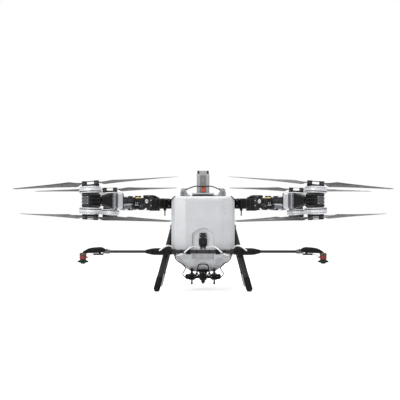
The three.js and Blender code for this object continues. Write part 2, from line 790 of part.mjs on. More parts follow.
function addArm(side, end) {
  const prefix = `${end < 0 ? "front" : "rear"}_${side > 0 ? "left" : "right"}`;
  const toeSign = side * end;
  const arm = new THREE.Group();
  arm.position.set(side * HINGE.x, end * HINGE.y, HINGE.z);
  arm.rotation.z = Math.atan2(end * Math.sin(ARM_ANGLE), side * Math.cos(ARM_ANGLE));
  arm.add(part(`${prefix}_arm`, armShape(), "carbon"));

  const esc = part(`${prefix}_speed_controller`, escShape(), "grey");
  esc.position.x = ESC.centre;
  arm.add(esc);

  const latch = part(`${prefix}_arm_latch`, latchShape(), "black");
  latch.position.set(LATCH.pivotX, 0, LATCH.pivotZ);
  arm.add(latch);

  const stack = new THREE.Group();
  stack.position.x = ARM_LENGTH;
  stack.add(part(`${prefix}_motor_mount`, mountShape(toeSign), "black"));
  const yaws = end < 0 ? ROTOR_YAW.front : ROTOR_YAW.rear;
  // the blades of a rotor lie across the arm
  const across = 90;
  const upper = new THREE.Group();
  upper.rotation.x = toeSign * TOE;
  addRotor(upper, prefix, "upper", toeSign, across - side * yaws.upper);
  const lower = new THREE.Group();
  lower.rotation.x = Math.PI - toeSign * TOE;
  addRotor(lower, prefix, "lower", toeSign, across + side * yaws.lower);
  stack.add(upper, lower);
  arm.add(stack);
  drone.add(arm);
}

for (const end of [-1, 1]) {
  for (const side of [1, -1]) {
    addArm(side, end);
    const prefix = `${end < 0 ? "front" : "rear"}_${side > 0 ? "left" : "right"}`;
    drone.add(part(`${prefix}_leg`, legShape(side, end), "carbon"));
  }
}

for (const side of [1, -1]) {
  const name = side > 0 ? "left" : "right";
  drone.add(part(`${name}_frame_side`, frameShape(side), "carbon"));
  drone.add(part(`${name}_boom_tube`, boomTubeShape(side), "black"));
  drone.add(part(`${name}_nozzle_head`, nozzleShape(side), "black"));
  const disc = part(`${name}_atomizer_disc`, discShape(), "amber");
  disc.position.set(side * NOZZLE.x, BOOM.y, 0);
  drone.add(disc);
}

drone.add(part("battery_bay", bayShape(), "grey"));
drone.add(part("battery", batteryShape(), "grey"));
drone.add(part("liquid_tank", tankShape(), "tank"));
drone.add(part("tank_lid", lidShape(), "black"));
drone.add(part("boom_centre", boomCentreShape(), "black"));
drone.add(part("pump_unit", pumpShape(), "black"));
drone.add(part("pump_wiring", wiringShape(), "black"));
drone.add(part("spray_hoses", hosesShape(), "hose"));

export default drone;
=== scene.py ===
import json
import math

import bmesh
import bpy
from mathutils import Matrix, Vector


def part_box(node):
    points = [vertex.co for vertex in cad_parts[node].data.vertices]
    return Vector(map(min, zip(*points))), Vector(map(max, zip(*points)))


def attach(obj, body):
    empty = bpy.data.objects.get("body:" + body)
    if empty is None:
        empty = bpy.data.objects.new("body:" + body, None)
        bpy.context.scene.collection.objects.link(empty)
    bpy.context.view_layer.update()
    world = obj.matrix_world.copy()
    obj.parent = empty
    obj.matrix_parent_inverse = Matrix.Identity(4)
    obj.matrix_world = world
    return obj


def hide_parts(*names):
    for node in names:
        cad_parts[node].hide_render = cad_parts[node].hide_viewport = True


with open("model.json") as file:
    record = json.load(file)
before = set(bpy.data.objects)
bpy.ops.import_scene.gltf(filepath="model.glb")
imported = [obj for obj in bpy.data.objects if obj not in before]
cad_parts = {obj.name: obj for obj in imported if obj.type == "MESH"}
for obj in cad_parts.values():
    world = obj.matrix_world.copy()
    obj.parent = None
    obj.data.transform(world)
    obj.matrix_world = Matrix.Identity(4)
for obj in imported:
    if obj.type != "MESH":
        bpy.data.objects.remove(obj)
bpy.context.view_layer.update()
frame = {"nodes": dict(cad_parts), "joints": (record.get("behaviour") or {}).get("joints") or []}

JOINTS = {joint["name"]: joint for joint in frame["joints"]}
CORNERS = ("front_left", "front_right", "rear_left", "rear_right")
LEVELS = ("upper", "lower")
MM = 0.001

# ---- camera -----------------------------------------------------------------------------------------
CAMERA_AT = (0.0, -8.62, 0.576)
CAMERA_PITCH = math.radians(1.11)  # looks a little upwards
CAMERA_YAW = math.radians(0.17)
FOCAL_LENGTH = 92.7  # on a 36 mm wide sensor


def add_camera():
    data = bpy.data.cameras.new("camera")
    data.lens = FOCAL_LENGTH
    data.sensor_width = 36
    camera = bpy.data.objects.new("camera", data)
    camera.location = CAMERA_AT
    camera.rotation_euler = (math.pi / 2 + CAMERA_PITCH, 0, CAMERA_YAW)
    bpy.context.collection.objects.link(camera)
    bpy.context.scene.camera = camera


add_camera()


# ---- materials --------------------------------------------------------------------------------------
class Nodes:
    """A small helper that adds and links shader nodes."""

    def __init__(self, name):
        self.material = bpy.data.materials.new(name)
        self.material.use_nodes = True
        self.tree = self.material.node_tree
        self.shader = self.tree.nodes["Principled BSDF"]
        self.coordinates = self.tree.nodes.new("ShaderNodeTexCoord").outputs["Object"]

    def add(self, kind, inputs=None, **settings):
        node = self.tree.nodes.new("ShaderNode" + kind)
        for key, value in settings.items():
            setattr(node, key, value)
        for key, value in (inputs or {}).items():
            if isinstance(value, bpy.types.NodeSocket):
                self.tree.links.new(value, node.inputs[key])
            else:
                node.inputs[key].default_value = value
        return node

    def stretch(self, scale):
        node = self.add("Mapping", {"Vector": self.coordinates, "Scale": scale})
        return node.outputs["Vector"]

    def noise(self, scale, detail=4.0, vector=None):
        inputs = {"Vector": vector or self.coordinates, "Scale": scale, "Detail": detail}
        return self.add("TexNoise", inputs).outputs["Fac"]

    def span(self, value, low, high, start=0.35, end=0.65):
        """Maps value from start..end to low..high."""
        inputs = {"Value": value, "From Min": start, "From Max": end, "To Min": low, "To Max": high}
        return self.add("MapRange", inputs).outputs["Result"]

    def mix(self, factor, first, second):
        node = self.add("Mix", data_type="RGBA")
        for index, value in ((0, factor), (6, first), (7, second)):
            if isinstance(value, bpy.types.NodeSocket):
                self.tree.links.new(value, node.inputs[index])
            else:
                node.inputs[index].default_value = value
        return node.outputs[2]

    def edges(self, low=0.505, high=0.56):
        """How strongly a point lies on an outer edge, from 0 to 1."""
        pointiness = self.add("NewGeometry").outputs["Pointiness"]
        return self.span(pointiness, 0.0, 1.0, low, high)

    def link(self, output, socket):
        self.tree.links.new(output, self.shader.inputs[socket])

    def bump(self, height, distance, strength=1.0):
        inputs = {"Height": height, "Distance": distance, "Strength": strength}
        node = self.add("Bump", inputs)
        self.link(node.outputs["Normal"], "Normal")
        return node

    def set(self, **values):
        for key, value in values.items():
            self.shader.inputs[key.replace("_", " ")].default_value = value


def grey(value, tint=(1.0, 1.0, 1.0)):
    return (value * tint[0], value * tint[1], value * tint[2], 1.0)


COOL = (0.97, 0.99, 1.03)


def moulded(name, color, roughness=0.55, grain=900.0, depth=0.00012, worn=1.7, coat=0.0, shine=0.4):
    """Moulded plastic or coated metal: fine grain, slow colour change and rubbed edges."""
    n = Nodes(name)
    slow = n.noise(9.0, 3.0)
    darker = tuple(c * 0.82 for c in color[:3]) + (1.0,)
    lighter = tuple(min(1.0, c * 1.15) for c in color[:3]) + (1.0,)
    base = n.mix(n.span(slow, 0.0, 1.0), darker, lighter)
    rubbed = tuple(min(1.0, c * worn + 0.004) for c in color[:3]) + (1.0,)
    n.link(n.mix(n.edges(), base, rubbed), "Base Color")
    fine = n.noise(grain, 2.0)
    n.link(n.span(n.noise(40.0, 4.0), roughness - 0.08, roughness + 0.1), "Roughness")
    n.bump(fine, depth)
    n.set(Coat_Weight=coat, Coat_Roughness=0.25, Specular_IOR_Level=shine)
    return n.material


def woven_carbon(name):
    """Carbon tube: a 3 mm twill under a thin clear coat."""
    n = Nodes(name)
    turned = n.add("Mapping", {"Vector": n.coordinates, "Rotation": (0.0, 0.0, math.radians(45))})
    inputs = {"Vector": turned.outputs["Vector"], "Scale": 330.0}
    weave = n.add("TexChecker", inputs).outputs["Fac"]
    n.link(n.mix(weave, grey(0.006, COOL), grey(0.018, COOL)), "Base Color")
    n.link(n.span(weave, 0.32, 0.5, 0.0, 1.0), "Roughness")
    n.bump(n.noise(500.0, 2.0), 0.00006)
    n.set(Coat_Weight=0.06, Coat_Roughness=0.2, Specular_IOR_Level=0.22)
    return n.material


def turned_alloy(name, value, roughness=0.34, tint=COOL):
    """Bead-blasted and turned aluminium: fine rings round the local Z axis."""
    n = Nodes(name)
    rings = n.noise(1.0, 3.0, n.stretch((30.0, 30.0, 2600.0)))
    slow = n.noise(14.0, 3.0)
    base = n.mix(n.span(slow, 0.0, 1.0), grey(value * 0.86, tint), grey(value * 1.08, tint))
    n.link(n.mix(n.edges(), base, grey(min(1.0, value * 1.35), tint)), "Base Color")
    n.link(n.span(rings, roughness - 0.08, roughness + 0.12), "Roughness")
    n.bump(rings, 0.00005)
    n.set(Metallic=0.3, Specular_IOR_Level=0.4)
    return n.material


def blade_composite(name):
    """Moulded blade: long fibres along the blade and faint dust."""
    n = Nodes(name)
    fibres = n.noise(1.0, 4.0, n.stretch((8.0, 420.0, 420.0)))
    dust = n.noise(16.0, 5.0)
    base = n.mix(n.span(fibres, 0.0, 1.0), grey(0.017, COOL), grey(0.05, COOL))
    n.link(n.mix(n.span(dust, 0.0, 0.25, 0.45, 0.75), base, grey(0.14)), "Base Color")
    n.set(Specular_IOR_Level=0.15)
    n.link(n.span(dust, 0.36, 0.55), "Roughness")
    n.bump(fibres, 0.0001)
    return n.material


def milky_tank(name):
    """Blow-moulded polyethylene: pale, slightly see-through, greyer towards the funnel, with painted light
    on the walls of the niche.
    """
    n = Nodes(name)
    low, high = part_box("liquid_tank")
    height = n.add("SeparateXYZ", {"Vector": n.coordinates}).outputs["Z"]
    cloud = n.noise(7.0, 3.0)
    boom_level = low.z + 0.26 * (high.z - low.z)
    fade = n.span(height, 1.0, 0.0, boom_level - 0.05, boom_level + 0.03)
    pale = n.mix(n.span(cloud, 0.0, 1.0), grey(0.36, COOL), grey(0.39, COOL))
    murky = n.mix(n.span(n.noise(22.0, 4.0), 0.0, 1.0), grey(0.25, COOL), grey(0.37, COOL))
    # painted light: the walls of the niche are lightened to cancel the shade that falls in the recess
    place = n.add("SeparateXYZ", {"Vector": n.coordinates}).outputs
    width = n.add("Math", {0: place["X"]}, operation="ABSOLUTE").outputs["Value"]
    near_middle = n.span(width, 1.0, 0.0, 0.088, 0.1)
    below_peak = n.span(height, 1.0, 0.0, 0.5, 0.52)
    behind_front = n.span(place["Y"], 0.0, 1.0, low.y + 0.003, low.y + 0.02)
    near_front = n.span(place["Y"], 1.0, 0.0, low.y + 0.055, low.y + 0.065)
    above_sill = n.span(height, 0.0, 1.0, 0.305, 0.325)
    painted_niche_light = near_middle
    for mask in (below_peak, behind_front, near_front, above_sill):
        painted_niche_light = n.add("Math", {0: painted_niche_light, 1: mask}, operation="MULTIPLY").outputs["Value"]
    walls = n.mix(fade, pale, murky)
    # painted light: a lighter grey is mixed into the niche walls
    n.link(n.mix(painted_niche_light, walls, grey(0.56, COOL)), "Base Color")
    n.link(n.span(n.noise(60.0, 3.0), 0.26, 0.4), "Roughness")
    n.bump(n.noise(26.0, 3.0), 0.0012, 0.35)
    n.set(Subsurface_Weight=0.18, Subsurface_Scale=0.02, Coat_Weight=0.15, Coat_Roughness=0.2)
    return n.material


def milky_hose(name, color):
    """Soft pale hose with a faint ripple and a sheen."""
    n = Nodes(name)
    slow = n.noise(60.0, 3.0)
    shade = tuple(c * 0.8 for c in color[:3]) + (1.0,)
    n.link(n.mix(n.span(slow, 0.0, 1.0), shade, color), "Base Color")
    n.link(n.span(slow, 0.28, 0.42), "Roughness")
    n.bump(n.noise(300.0, 2.0), 0.0002)
    n.set(Subsurface_Weight=0.1, Subsurface_Scale=0.01)
    return n.material


CARBON = woven_carbon("woven_carbon")
BLACK = moulded("black_moulding", grey(0.005, COOL), 0.5, shine=0.05)
COATED = moulded("black_coat", grey(0.009, COOL), 0.46, 1400.0, 0.00006, 2.2, shine=0.09)
DARK = moulded("dark_moulding", grey(0.022, COOL), 0.5, shine=0.14)
SLATE = moulded("slate_moulding", grey(0.06, (0.94, 0.97, 1.1)), 0.48, shine=0.2)
GREY = moulded("grey_moulding", grey(0.17, COOL), 0.48, worn=1.25)
PALE = moulded("pale_moulding", grey(0.31, COOL), 0.45, worn=1.15)
WHITE = moulded("white_moulding", grey(0.66, COOL), 0.4, worn=1.05)
# painted shade: near-black that stands in for the shade inside the vent openings and in the seam groove of
# the bells
PAINTED_VENT_SHADE = moulded("vent_painted_shade", grey(0.004), 0.75, shine=0.1)
BELL = turned_alloy("bell_alloy", 0.44, 0.42)
SINK = turned_alloy("heat_sink_alloy", 0.34, 0.46)
STEEL = turned_alloy("bright_steel", 0.42, 0.25)
BLADE = blade_composite("blade_composite")
TANK = milky_tank("milky_tank")
HOSE = milky_hose("milky_hose", (0.62, 0.63, 0.64, 1.0))
WIRE = moulded("wire_sleeve", grey(0.006), 0.6, shine=0.15)
AMBER = moulded("amber_moulding", (0.05, 0.023, 0.013, 1.0), 0.4, coat=0.04, shine=0.25)
RED = moulded("red_moulding", (0.115, 0.009, 0.01, 1.0), 0.4, coat=0.04, shine=0.25)
ORANGE = moulded("orange_moulding", (0.26, 0.045, 0.028, 1.0), 0.45, shine=0.3)
YELLOW = moulded("yellow_tag", (0.36, 0.26, 0.09, 1.0), 0.5, shine=0.3)
COPPER = turned_alloy("copper_winding", 0.42, 0.4, (1.0, 0.52, 0.3))
RED_WIRE = moulded("red_wire_sleeve", (0.12, 0.008, 0.008, 1.0), 0.5, shine=0.2)
PURPLE_WIRE = moulded("violet_wire_sleeve", (0.04, 0.028, 0.075, 1.0), 0.45, shine=0.3)
GREY_BLACK = moulded("clamp_moulding", grey(0.06, COOL), 0.45, worn=1.4, shine=0.25)
BATTERY_SHELL = moulded("battery_shell", grey(0.2, COOL), 0.42, worn=1.25)
BATTERY_PANEL = moulded("battery_panel", grey(0.1, (0.98, 1.0, 0.99)), 0.4, worn=1.2)
IMPELLER = moulded("impeller_moulding", (0.007, 0.014, 0.01, 1.0), 0.34, coat=0.02, shine=0.12)


# ---- mesh kit ---------------------------------------------------------------------------------------
HERE = Matrix.Identity(4)


def turn(axis, degrees):
    return Matrix.Rotation(math.radians(degrees), 4, axis)


def move(x=0.0, y=0.0, z=0.0):
    return Matrix.Translation((x, y, z))


def along(start, end):
    """A frame at start whose Z axis points to end, and the distance between them."""
    start, end = Vector(start), Vector(end)
    way = end - start
    frame_ = way.to_track_quat("Z", "Y").to_matrix().to_4x4()
    return Matrix.Translation(start) @ frame_, way.length


def circle(radius, count=32, phase=0.0, z=0.0):
    steps = [2 * math.pi * i / count + phase for i in range(count)]
    return [(radius * math.cos(a), radius * math.sin(a), z) for a in steps]


def rounded(width, height, corner, steps=5):
    """The outline of a rectangle with round corners."""
    points = []
    for quarter, (sx, sy) in enumerate(((1, 1), (-1, 1), (-1, -1), (1, -1))):
        cx, cy = sx * (width / 2 - corner), sy * (height / 2 - corner)
        for i in range(steps + 1):
            a = math.pi / 2 * (quarter + i / steps)
            points.append((cx + corner * math.cos(a), cy + corner * math.sin(a)))
    return points


def smooth_path(points, per_span=6):
    """A Catmull-Rom curve through the points."""
    points = [Vector(p) for p in points]
    ends = [points[0] * 2 - points[1]] + points + [points[-1] * 2 - points[-2]]
    path = []
    for a, b, c, d in zip(ends, ends[1:], ends[2:], ends[3:]):
        for i in range(per_span):
            t = i / per_span
            path.append(0.5 * (2 * b + (c - a) * t + (2 * a - 5 * b + 4 * c - d) * t * t
                               + (3 * b - 3 * c + d - a) * t ** 3))
    return path + [points[-1]]


class Piece:
    """One visible object, built up in millimetres from closed shapes that each have a finish."""

    def __init__(self, name):
        self.name = name
        self.mesh = bmesh.new()
        self.finishes = []

    def slot(self, finish):
        if finish not in self.finishes:
            self.finishes.append(finish)
        return self.finishes.index(finish)

    def skin(self, rings, finish, at=HERE, loop=False):
        """A closed skin over rings with equal point counts; loop joins the last ring to the first."""
        index = self.slot(finish)
        rows = [[self.mesh.verts.new(at @ Vector(p)) for p in ring] for ring in rings]
        count = len(rows[0])
        pairs = list(zip(rows, rows[1:])) + ([(rows[-1], rows[0])] if loop else [])
        faces = []
        for a, b in pairs:
            for i in range(count):
                j = (i + 1) % count
                faces.append(self.mesh.faces.new((a[i], a[j], b[j], b[i])))
        if not loop:
            faces.append(self.mesh.faces.new(rows[0][::-1]))
            faces.append(self.mesh.faces.new(rows[-1]))
        for face in faces:
            face.material_index = index
        bmesh.ops.recalc_face_normals(self.mesh, faces=faces)
        return faces

    def recess(self, faces, depth, finish):
        """Sinks a patch of faces into its body; a negative depth raises it."""
        grown = bmesh.ops.extrude_face_region(self.mesh, geom=faces)["geom"]
        patch = [item for item in grown if isinstance(item, bmesh.types.BMFace)]
        shifts = {}
        for face in patch:
            face.normal_update()
            face.material_index = self.slot(finish)
            for vertex in face.verts:
                shifts[vertex] = shifts.get(vertex, Vector()) + face.normal
        for vertex, shift in shifts.items():
            vertex.co -= shift.normalized() * depth

    def prism(self, outline, low, high, finish, at=HERE):
        return self.skin([[(x, y, z) for x, y in outline] for z in (low, high)], finish, at)

    def frame(self, outer, inner, low, high, finish, at=HERE):
        """A tube-like wall between two outlines with equal point counts."""
        rings = [(outer, low), (outer, high), (inner, high), (inner, low)]
        self.skin([[(x, y, z) for x, y in line] for line, z in rings], finish, at, loop=True)

    def block(self, size, centre, finish, at=HERE, corner=0.0):
        """A box, or one with round upright corners."""
        x, y, z = centre
        if corner:
            outline = rounded(size[0], size[1], corner)
        else:
            outline = [(sx * size[0] / 2, sy * size[1] / 2)
                       for sx, sy in ((-1, -1), (1, -1), (1, 1), (-1, 1))]
        return self.prism(outline, -size[2] / 2, size[2] / 2, finish, at @ move(x, y, z))

    def lathe(self, profile, finish, at=HERE, count=40, loop=False):
        """A turned shape from (radius, height) pairs; loop makes a ring with a hole."""
        return self.skin([circle(r, count, z=z) for r, z in profile], finish, at, loop)

    def rod(self, start, end, radius, finish, at=HERE, end_radius=None, count=20):
        frame_, length = along(start, end)
        far = radius if end_radius is None else end_radius
        self.lathe([(radius, 0.0), (far, length)], finish, at @ frame_, count)

    def tube(self, points, radius, finish, at=HERE, count=14, per_span=6, radii=None):
        """A hose along a smooth curve through the points."""
        path = smooth_path(points, per_span)
        side = (path[1] - path[0]).orthogonal().normalized()
        rings = []
        for i, point in enumerate(path):
            before, after = path[max(0, i - 1)], path[min(len(path) - 1, i + 1)]
            way = (after - before).normalized()
            side = (side - way * side.dot(way)).normalized()
            up = way.cross(side)
            share = i / (len(path) - 1)
            r = radius if radii is None else radii(share)
            rings.append([point + side * x + up * y for x, y, _ in circle(r, count)])
        self.skin(rings, finish, at)

    def bolt(self, place, direction, radius, finish=STEEL, at=HERE):
        """A cap screw head with a hexagon socket rim."""
        frame_, _ = along(place, Vector(place) + Vector(direction))
        height = radius * 1.1
        self.lathe([(radius * 1.25, 0), (radius * 1.25, radius * 0.25)], finish, at @ frame_, 18)
        self.lathe([(radius, 0), (radius, height), (radius * 0.62, height),
                    (radius * 0.55, height * 0.45)], finish, at @ frame_, 12)

    def data(self):
        bmesh.ops.recalc_face_normals(self.mesh, faces=self.mesh.faces)
        bmesh.ops.scale(self.mesh, vec=(MM, MM, MM), verts=self.mesh.verts)
        mesh = bpy.data.meshes.new(self.name)
        self.mesh.to_mesh(mesh)
        self.mesh.free()
        for finish in self.finishes:
            mesh.materials.append(finish)
        mesh.shade_smooth()
        mesh.set_sharp_from_angle(angle=math.radians(32))
        return mesh


def show(name, mesh, body, nodes=(), at=HERE, bevel=1.2, segments=2):
    """Puts a mesh in the scene on its CAD body, in place of the CAD nodes it stands for."""
    piece = bpy.data.objects.new(name, mesh)
    bpy.context.collection.objects.link(piece)
    piece.matrix_world = Matrix.Translation(at.translation * MM) @ at.to_3x3().to_4x4()
    if bevel:
        edge = piece.modifiers.new("edges", "BEVEL")
        edge.width = bevel * MM
        edge.segments = segments
        edge.limit_method = "ANGLE"
        edge.angle_limit = math.radians(32)
        edge.harden_normals = True
    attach(piece, body)
    if nodes:
        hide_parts(*nodes)
    return piece


# ---- frames of the arms, rotors and blades, in millimetres ------------------------------------------
UP = Vector((0, 0, 1))
ROTOR_JOINT_HEIGHT = 100  # the rotor joints stand this far from the middle of the motor stack


def basis(origin, x, z):
    matrix = Matrix((x, z.cross(x), z)).transposed().to_4x4()
    return Matrix.Translation(Vector(origin) / MM) @ matrix


def arm_frame(corner):
    """Origin on the hinge pin, X out along the arm, Y along the pin."""
    joint = JOINTS[f"{corner}_arm_fold"]
    pin = Vector(joint["axis"]).normalized()
    return basis(joint["pos_m"], pin.cross(UP), UP)


def rotor_axis(corner, level):
    return Vector(JOINTS[f"{corner}_{level}_rotor_spin"]["axis"]).normalized()


def blade_way(corner, level):
    a, b = (Vector(JOINTS[f"{corner}_{level}_blade_{x}_fold"]["pos_m"]) for x in "ab")
    way = a - b
    axis = rotor_axis(corner, level)
    return (way - axis * way.dot(axis)).normalized()


def rotor_frame(corner, level):
    """Origin in the middle of the motor stack, Z out along the rotor axis, X towards blade a."""
    joint = JOINTS[f"{corner}_{level}_rotor_spin"]
    way = blade_way(corner, level)
    return basis(joint["pos_m"], way, rotor_axis(corner, level)) @ move(z=-ROTOR_JOINT_HEIGHT)


def blade_frame(corner, level, letter):
    """Origin on the blade's pivot, X out along the blade."""
    joint = JOINTS[f"{corner}_{level}_blade_{letter}_fold"]
    way = blade_way(corner, level) * (1 if letter == "a" else -1)
    return basis(joint["pos_m"], way, rotor_axis(corner, level))


def sides(corner):
    """(1 or -1 for left or right, -1 or 1 for front or rear)."""
    return (1 if corner.endswith("left") else -1, -1 if corner.startswith("front") else 1)


def flip(side):
    return Matrix.Diagonal((side, 1, 1, 1))


ABOUT_X = turn("Y", 90)  # turns a shape's Z axis to X
ABOUT_Y = turn("X", -90)  # turns a shape's Z axis to Y
ACROSS = turn("Z", 90) @ turn("X", 90)  # an outline in XY becomes one in YZ


# ---- rotor blades -----------------------------------------------------------------------------------
ROTOR_RADIUS = 800
FIRST_PINS = [Vector(JOINTS[f"front_left_upper_blade_{x}_fold"]["pos_m"]) for x in "ab"]
BLADE_PIN = (FIRST_PINS[0] - FIRST_PINS[1]).length / 2 / MM
BLADE_CHORD = 108
BLADE_ROOT_CHORD = 30
BLADE_EYE = 19
BLADE_GRIP = 9.6


def blade_mesh(spin):
    piece = Piece("blade")
    stations, around = 34, 24
    span, start = ROTOR_RADIUS - BLADE_PIN, BLADE_EYE * 0.6
    rings = []
    for s in range(stations + 1):
        t = (s / stations) ** 1.15
        swell = min(1.0, t / 0.16)
        ease = swell * swell * (3 - 2 * swell)
        chord = BLADE_ROOT_CHORD + (BLADE_CHORD - BLADE_ROOT_CHORD) * ease
        chord *= 1 - 0.7 * max(0.0, t - 0.16) ** 0.85
        tip = max(0.0, (t - 0.965) / 0.035)
        chord *= math.sqrt(max(0.04, 1 - tip * tip))
        thickness = 13 * (1 - t) ** 0.8 + 2.2
        pitch = math.radians(24 - 17 * t ** 0.6) * ease
        x = start + t * (span - start)
        ring = []
        for k in range(around):
            a = 2 * math.pi * k / around
            fullness = 1 + 0.45 * math.cos(a)
            depth = (0.4 if math.sin(a) > 0 else 0.3) * math.sin(a) * fullness
            y = 0.5 * math.cos(a) * chord - 0.06 * chord * ease
            z = depth * thickness
            forward = y * math.cos(pitch) - z * math.sin(pitch)
            ring.append((x, spin * forward, y * math.sin(pitch) + z * math.cos(pitch)))
        rings.append(ring)
    piece.skin(rings, BLADE)
    eye = [(6.8, -BLADE_GRIP), (BLADE_EYE - 1, -BLADE_GRIP), (BLADE_EYE, -BLADE_GRIP + 1),
           (BLADE_EYE, BLADE_GRIP - 1), (BLADE_EYE - 1, BLADE_GRIP), (6.8, BLADE_GRIP)]
    piece.lathe(eye, BLADE, count=36, loop=True)
    for side in (-1, 1):
        piece.lathe([(7, 0), (13, 0), (13, 0.5), (7, 0.5)], STEEL,
                    move(z=side * BLADE_GRIP - 0.25), 28, loop=True)
    return piece.data()


# ---- motor bells with their blade hubs --------------------------------------------------------------
HUB_FOOT, HUB_PLATE, HUB_CAP, HUB_TOP = 107, 120, 140, 149


def dogbone(half, radius, waist, steps=12):
    """Two round ends joined by a narrower waist."""
    points = []
    for end in (1, -1):
        for i in range(steps + 1):
            a = math.radians(-112 + 224 * i / steps) + (0 if end > 0 else math.pi)
            points.append((end * half + radius * math.cos(a), radius * math.sin(a)))
        points.append((0, waist * end))
    return points


def bell_mesh():
    piece = Piece("bell")
    count = 112
    profile = [(1, 93), (74, 93), (78, 88), (78.5, 57), (80, 55), (83, 55), (85.5, 56.5), (85.5, 62),
               (82, 63.5), (82, 68.5), (84.5, 69.5), (86, 71), (86, 89), (85.6, 90.5),
               (81, 101.5), (77, 103.5), (71, 104.5), (66, 105.5), (45, 106.6), (40, 107), (1, 107)]
    faces = piece.lathe(profile, BELL, count=count)

    def band(row, wanted):
        return [faces[row * count + i] for i in range(count) if wanted(i)]

    vents = band(13, lambda i: i % 4 < 3)
    slots = band(17, lambda i: i % 8 < 5)
    # painted shade: shallow recesses with near-black floors stand in for open vents, and a near-black ring
    # fills the seam groove
    piece.recess(vents, 5, PAINTED_VENT_SHADE)
    piece.recess(slots, 4, PAINTED_VENT_SHADE)
    piece.frame(circle_xy(84.8, 64), circle_xy(81, 64), 63, 68.8, PAINTED_VENT_SHADE)
    # blade hub
    piece.prism(dogbone(BLADE_PIN, 22, 15), HUB_FOOT - 1, HUB_PLATE, BLACK)
    piece.prism(dogbone(BLADE_PIN, 20, 12), HUB_CAP + 1, HUB_CAP + 5, BLACK)
    for x in (-BLADE_PIN, BLADE_PIN):
        at = move(x)
        piece.lathe([(5.8, HUB_PLATE - 1), (5.8, HUB_CAP + 1)], STEEL, at, 20)
        piece.lathe([(20, HUB_CAP), (22, HUB_CAP + 1.5), (22, HUB_CAP + 4), (19, HUB_TOP - 2.5),
                     (11, HUB_TOP - 2.5), (10, HUB_TOP - 4)], BLACK, at, 36)
        piece.lathe([(8, HUB_TOP - 5), (8, HUB_TOP - 1), (7, HUB_TOP), (4.2, HUB_TOP),
                     (3.8, HUB_TOP - 3)], STEEL, at, 6)
        for a in (60, 180, 300):
            spot = turn("Z", a) @ Vector((16, 0, 0))
            piece.bolt((x + spot.x, spot.y, HUB_CAP + 4.5), UP, 3.2, COATED)
        side = 1 if x > 0 else -1
        for y in (-14, 14):
            piece.bolt((x - side * 34, y * 0.75, HUB_PLATE - 0.5), UP, 2.6, COATED)
    return piece.data()


def circle_xy(radius, count=40):
    return [(x, y) for x, y, _ in circle(radius, count)]


# ---- motor mounts -----------------------------------------------------------------------------------
MOUNT_LENGTH, MOUNT_WIDTH, MOUNT_HEIGHT = 124, 108, 92
STATOR_RADIUS = 74
TOE = 2.2  # degrees
WEDGE_START = -234.5  # inner face of the wedge, from the rotor axis
WEDGE_HALF = 24
NECK_END = -92


